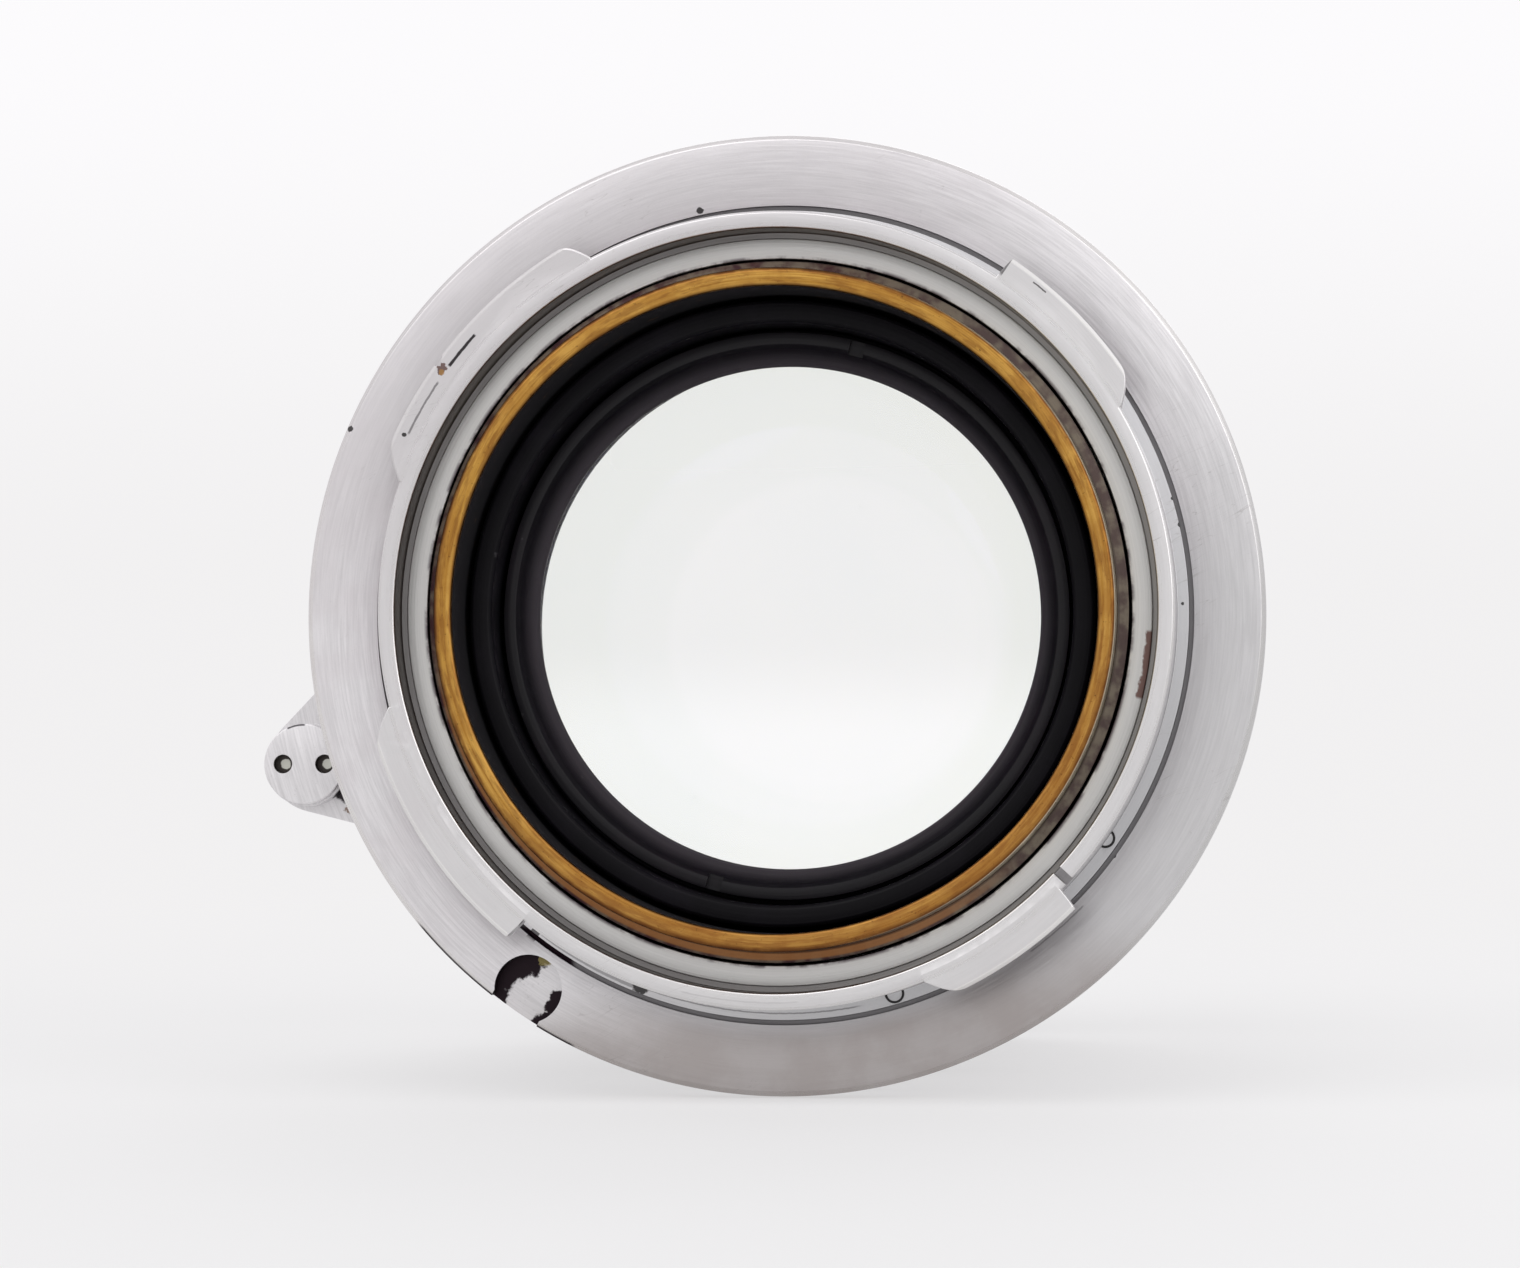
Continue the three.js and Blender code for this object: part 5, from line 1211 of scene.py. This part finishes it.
def make_glasses():
    make_glass("rear_lens", 14.0, (3.5, 44.0), (7.9, -95.0), rear_coated_glass, ["rear_glass"])
    make_glass(
        "rear_pair", 12.6, (8.3, 23.6), (16.8, 16.4), inner_coated_glass,
        ["rear_inner_glass", "rear_flint_glass"], front_half=11.1)
    make_glass(
        "front_pair", 14.0, (31.325, -15.4), (38.42, -21.8), inner_coated_glass,
        ["front_flint_glass", "front_inner_glass"], rear_half=11.1)
    make_glass("front_lens", 16.4, (38.82, -150.0), (43.22, -40.0), front_coated_glass, ["front_glass"])


def make_inner_rings():
    """The rings and cells round the front and inner glasses."""
    inner = turned_piece("inner_ring_turned", [
        (11.4, 21.43), (12.6, 21.43), (12.6, 22.23), (11.7, 22.23),
    ], rounding=0.04, steps=128)
    fit(inner, "head", "black_metal", ring_black, "inner_retaining_ring")
    cell = turned_piece("front_cell_turned", [
        (11.3, 25.95), (18.6, 25.95), (18.6, 28.05), (19.7, 28.05), (19.7, 30.15), (18.6, 30.15),
        (18.6, 39.71), (19.7, 39.71), (19.7, 41.81), (16.7, 41.81), (16.7, 37.62), (14.3, 37.62),
        (14.3, 26.45), (11.3, 26.45),
    ], rounding=0.05, steps=128)
    fit(cell, "head", "black_metal", trim_black, "front_cell")
    spacer = turned_piece("spacer_turned", [
        (13.2, 34.12), (14.0, 34.12), (14.0, 37.92), (13.2, 37.92),
    ], rounding=0.05, steps=128)
    fit(spacer, "head", "black_metal", ring_black, "lens_spacer")
    holder = turned_piece("front_ring_turned", [
        (15.4, 40.44), (16.4, 40.44), (16.4, 41.94), (16.3, 41.94), (16.05, 41.6), (15.9, 41.6),
        (15.65, 41.1), (15.5, 41.1),
    ], rounding=0.03, steps=160)
    slots = [block((0.9, 0.9, 0.9), (16.3, 41.9, 0.0), angle) for angle in (20, 200)]
    cut_away(holder, *slots)
    fit(holder, "head", "black_metal", trim_black, "front_retaining_ring")


def make_trim_ring():
    """Cone between the front glass and the filter thread, with fine baffle steps."""
    corners = [(16.7, 41.81), (18.3, 41.81), (18.3, 44.01)]
    steps = 5
    for step in range(steps):
        high = 1 - step / steps
        low = 1 - (step + 1) / steps
        corners.append((17.0 + 1.3 * low + 0.08, 42.61 + 1.4 * high - 0.03))
        corners.append((17.0 + 1.3 * low + 0.02, 42.61 + 1.4 * low + 0.05))
    trim = turned_piece("trim_cone", corners, rounding=0.02, steps=160)
    return fit(trim, "head", "black_metal", trim_black, "trim_ring")


def make_front_sleeve():
    """Front sleeve, with the filter thread cut in its bore."""
    corners = [
        (21.2, 30.73), (22.7, 30.73), (22.9, 30.93), (22.9, 41.3), (22.65, 41.4), (22.65, 41.75),
        (22.9, 41.96), (FRONT_SLEEVE_RADIUS, 42.2), (FRONT_SLEEVE_RADIUS, 48.21), (22.95, 48.46),
        (21.75, 48.46), (21.4, 48.1),
    ]
    pitch = 0.6
    turns = 6
    for turn in range(turns):
        place = 48.1 - pitch * turn
        corners += [(21.4, place - 0.08), (21.72, place - 0.3), (21.4, place - 0.52)]
    corners += [(21.4, 43.16), (18.6, 43.16), (18.6, 41.96), (21.2, 41.96)]
    sleeve = turned_piece("front_sleeve_turned", corners, rounding=0.03, steps=200)
    return fit(sleeve, "head", "satin_chrome", sleeve_chrome, "front_sleeve")


def make_aperture_ring():
    """Aperture ring with a fluted grip."""
    ring = turned_piece("aperture_grip_ring", [
        (21.2, 20.53), (23.2, 20.53), (APERTURE_RING_RADIUS, 20.73), (APERTURE_RING_RADIUS, 25.0),
        (23.2, 25.08), (23.2, 25.2), (APERTURE_RING_RADIUS, 25.3), (APERTURE_RING_RADIUS, 29.6),
        (23.2, 29.7), (23.2, 29.8), (APERTURE_RING_RADIUS, 29.9), (APERTURE_RING_RADIUS, 30.25),
        (23.22, 30.43), (21.2, 30.43),
    ], rounding=0.04, steps=200)
    flutes = [round_bar(4.224, 25.3, 29.6, 27.174, 4.65 + 360 / 24 * count, 96) for count in range(24)]
    hole = radial_bar(0.7, 20.6, 24.0, DRIVE_SCREW_ANGLE, DRIVE_SCREW_PLACE)
    counterbore = radial_bar(1.1, 21.95, 24.0, DRIVE_SCREW_ANGLE, DRIVE_SCREW_PLACE)
    cut_away(ring, join_pieces("flutes", flutes), hole, counterbore)
    fit(ring, "aperture", "satin_chrome", ring_chrome, "aperture_ring")
    screw = slotted_screw("drive_screw_turned", [
        (0.0, 15.9), (0.55, 15.9), (0.55, 22.1), (0.95, 22.1), (0.95, 22.85), (0.8, 23.0), (0.0, 23.0),
    ], DRIVE_SCREW_ANGLE, DRIVE_SCREW_PLACE, 0.26, 0.3)
    fit(screw, "aperture", "steel", screw_steel, "drive_screw")


# Figures

def place_on_ring(piece, radius, angle, place):
    """Lays a flat mark on a ring: its top points forwards along the axis."""
    turn = math.radians(angle)
    right = Vector((math.sin(turn), 0, -math.cos(turn)))
    top = Vector((0, 1, 0))
    out = Vector((math.cos(turn), 0, math.sin(turn)))
    spot_on_ring = out * radius * MM + top * place * MM
    piece.matrix_world = Matrix((
        (right.x, top.x, out.x, spot_on_ring.x),
        (right.y, top.y, out.y, spot_on_ring.y),
        (right.z, top.z, out.z, spot_on_ring.z),
        (0, 0, 0, 1)))
    settle(piece)
    return piece


def engrave(text, height, radius, angle, place):
    """Writes a figure on a ring, one character at a time."""
    letters = []
    advance = 0.66 * height
    width = advance * (len(text) - 1)
    for count, letter in enumerate(text):
        clear_selection()
        bpy.ops.object.text_add()
        figure = bpy.context.object
        figure.data.body = letter
        figure.data.size = height * 1.38 * MM
        figure.data.align_x = "CENTER"
        figure.data.align_y = "CENTER"
        figure.data.extrude = 0.02 * MM
        figure.data.offset = 0.01 * MM
        bpy.ops.object.convert(target="MESH")
        figure = bpy.context.object
        across = advance * count - width / 2
        letters.append(place_on_ring(figure, radius, angle - math.degrees(across / radius), place))
    return letters


def engraved_line(width, length, radius, angle, place):
    """A straight filled line along the axis."""
    line = block((width, length, 0.04), (0.0, 0.0, 0.0))
    return place_on_ring(line, radius, angle, place)


def make_figures():
    """The two scales, the aperture index and the depth scale, filled with paint."""
    distances = [("∞", 0.0), ("10", 9.9), ("5", 20.0), ("3", 33.5), ("2", 50.7), ("1.5", 68.2),
                 ("1.2", 86.0), ("1", 104.1)]
    marks = []
    for text, turn in distances:
        angle = 157.0 - turn
        marks += engrave(text, 1.5, FOCUS_RING_RADIUS, angle, 8.7)
        marks.append(engraved_line(0.16, 0.75, FOCUS_RING_RADIUS, angle, 7.2))
    fit(join_pieces("distance_figures", marks), "focusing", "satin_chrome", black_fill)
    marks = []
    for count, text in enumerate(["1.5", "2", "2.8", "4", "5.6", "8", "11", "16"]):
        angle = 90.0 - 6.0 * count
        marks += engrave(text, 1.45, APERTURE_RING_RADIUS, angle, 23.2)
        marks.append(engraved_line(0.15, 0.7, APERTURE_RING_RADIUS, angle, 21.3))
    fit(join_pieces("aperture_figures", marks), "aperture", "satin_chrome", black_fill)
    marks = [engraved_line(0.2, 1.1, 22.6, 90.0, 19.4), engraved_line(0.2, 1.3, 22.9, 90.0, 31.9)]
    fit(join_pieces("aperture_index", marks), "head", "satin_chrome", red_fill)
    marks = [engraved_line(0.22, 2.6, 24.72, 90.0, 4.4)]
    for text, turn in (("4", 5.2), ("8", 10.4), ("11", 14.4), ("16", 20.9)):
        for side in (-1, 1):
            angle = 90.0 + side * turn
            marks.append(engraved_line(0.14, 1.0, 24.56, angle, 5.4))
            marks += engrave(text, 1.25, 24.7, angle, 3.75)
    fit(join_pieces("depth_figures", marks), "mount", "satin_chrome", black_fill)


# Dressing, light and camera

def dress_carried_nodes():
    """Gives every CAD node the finish of its slot."""
    finishes = {
        "satin_chrome": satin_chrome, "grey_metal": turned_grey, "brass": coupling_brass,
        "black_metal": trim_black, "steel": screw_steel, "blade_steel": blade_steel,
        "red_enamel": red_enamel, "optical_glass": inner_coated_glass,
    }
    for entry in frame["record"]["subparts"]:
        node = frame["nodes"][entry["node"]]
        finish = finishes[entry["material_slot"]]
        if node.material_slots:
            for slot in node.material_slots:
                slot.material = finish
        else:
            node.data.materials.append(finish)


def add_to_scene(name, data):
    added = bpy.data.objects.new(name, data)
    bpy.context.collection.objects.link(added)
    return added


def place_camera():
    """The photograph's view: a little to the right of the axis and below it."""
    turn = math.radians(5.66)
    tilt = math.radians(2.61)
    data = bpy.data.cameras.new("rear_view")
    data.sensor_fit = "HORIZONTAL"
    data.sensor_width = 36.0
    data.lens = FOCAL_LENGTH_PIXELS * data.sensor_width / PHOTO_WIDTH
    camera = add_to_scene("rear_view", data)
    camera.rotation_euler = (math.pi / 2 + tilt, 0, turn)
    distance = 299.4 * MM
    pixel = distance / FOCAL_LENGTH_PIXELS
    across = BAYONET_CENTRE_PIXELS[0] - PHOTO_WIDTH / 2
    up = PHOTO_HEIGHT / 2 - BAYONET_CENTRE_PIXELS[1]
    seen = camera.rotation_euler.to_matrix() @ Vector((across * pixel, up * pixel, -distance))
    camera.location = Vector((0, REAR_FACE * MM, 0)) - seen
    bpy.context.scene.camera = camera


def make_table():
    """White table that the flange and the front sleeve rest on."""
    flange_edge = 1.75
    sleeve_edge = 48.2
    tilt = math.atan2(FLANGE_RADIUS - FRONT_SLEEVE_RADIUS, sleeve_edge - flange_edge)
    clear_selection()
    bpy.ops.mesh.primitive_plane_add(size=3.0)
    table = bpy.context.object
    table.name = "table"
    bpy.ops.object.mode_set(mode="EDIT")
    bpy.ops.mesh.subdivide(number_cuts=8)
    bpy.ops.object.mode_set(mode="OBJECT")
    # A hair under the flange, so that the two don't cut into each other
    touch = Matrix.Translation((0, flange_edge * MM, -(FLANGE_RADIUS + 0.03) * MM))
    table.matrix_world = touch @ Matrix.Rotation(tilt, 4, "X")
    settle(table)
    material, board, shader = start_material("white_table", Roughness=0.7, Specular_IOR_Level=0.2)
    output = material.node_tree.nodes["Material Output"]
    place = board.place()
    cloud = board.noise(board.scaled(place, 0.02), detail=3.0)
    board.feed(shader.inputs["Base Color"], board.blend(cloud, (0.86, 0.86, 0.87), (0.90, 0.90, 0.90)))
    # Seen directly, the table glows towards the background's own tone, and more so far from the lens
    glow = board.add("ShaderNodeEmission")
    glow.inputs["Color"].default_value = (*BACKGROUND, 1.0)
    shown = shown_rays(board)
    far = board.ramp(board.vector("LENGTH", board.vector("MULTIPLY", place, (1.0, 0.6, 0.0))), 45.0, 150.0)
    share = board.math("ADD", 0.62, board.math("MULTIPLY", far, 0.38))
    mixed = board.add("ShaderNodeMixShader")
    board.feed(mixed.inputs[0], board.math("MULTIPLY", share, shown))
    board.feed(mixed.inputs[1], shader.outputs[0])
    board.feed(mixed.inputs[2], glow.outputs[0])
    board.feed(output.inputs["Surface"], mixed.outputs[0])
    table.data.materials.append(material)


def shown_rays(board):
    """One where the camera, metal or glass looks at the background, and zero where it only lights."""
    path = board.add("ShaderNodeLightPath")
    seen = board.math("MAXIMUM", path.outputs["Is Camera Ray"], path.outputs["Is Glossy Ray"])
    return board.math("MAXIMUM", seen, path.outputs["Is Transmission Ray"])


def light_the_table():
    """Soft studio light: an even pale surround and three large soft lamps."""
    world = bpy.context.scene.world or bpy.data.worlds.new("studio")
    bpy.context.scene.world = world
    world.use_nodes = True
    board = Board(world.node_tree)
    background = world.node_tree.nodes["Background"]
    axes = board.axes(board.add("ShaderNodeTexCoord").outputs["Generated"])
    backdrop = board.blend(board.ramp(axes["Z"], 0.05, 0.15), BACKGROUND, HIGH_BACKGROUND)
    board.feed(background.inputs["Color"], board.blend(shown_rays(board), (0.56, 0.56, 0.57), backdrop))
    background.inputs["Strength"].default_value = 1.0
    # Name, place, width and power of each lamp, in metres and watts
    lamps = [
        ("soft_key", (-0.3, -0.45, 0.65), 0.9, 2.3),
        ("soft_fill", (0.55, -0.5, 0.35), 0.8, 1.8),
        ("front_fill", (0.1, 0.8, 0.5), 0.7, 1.8),
    ]
    for name, stands_at, size, power in lamps:
        data = bpy.data.lights.new(name, "AREA")
        data.shape = "DISK"
        data.size = size
        data.energy = power
        lamp = add_to_scene(name, data)
        lamp.location = stands_at
        # Keeps the lamps themselves out of the view through the glasses
        lamp.visible_transmission = False
        aim = Vector((0, 0.02, 0)) - Vector(stands_at)
        lamp.rotation_euler = aim.to_track_quat("-Z", "Y").to_euler()


dress_carried_nodes()
make_flange()
make_sleeve()
make_depth_ring()
make_catch()
make_focus_ring()
make_lever()
make_nut()
make_button()
make_barrel()
make_shell()
make_rear_cell()
make_rear_ring()
make_glasses()
make_inner_rings()
make_trim_ring()
make_front_sleeve()
make_aperture_ring()
make_figures()
place_camera()
make_table()
light_the_table()
bpy.context.scene.view_settings.view_transform = "Standard"
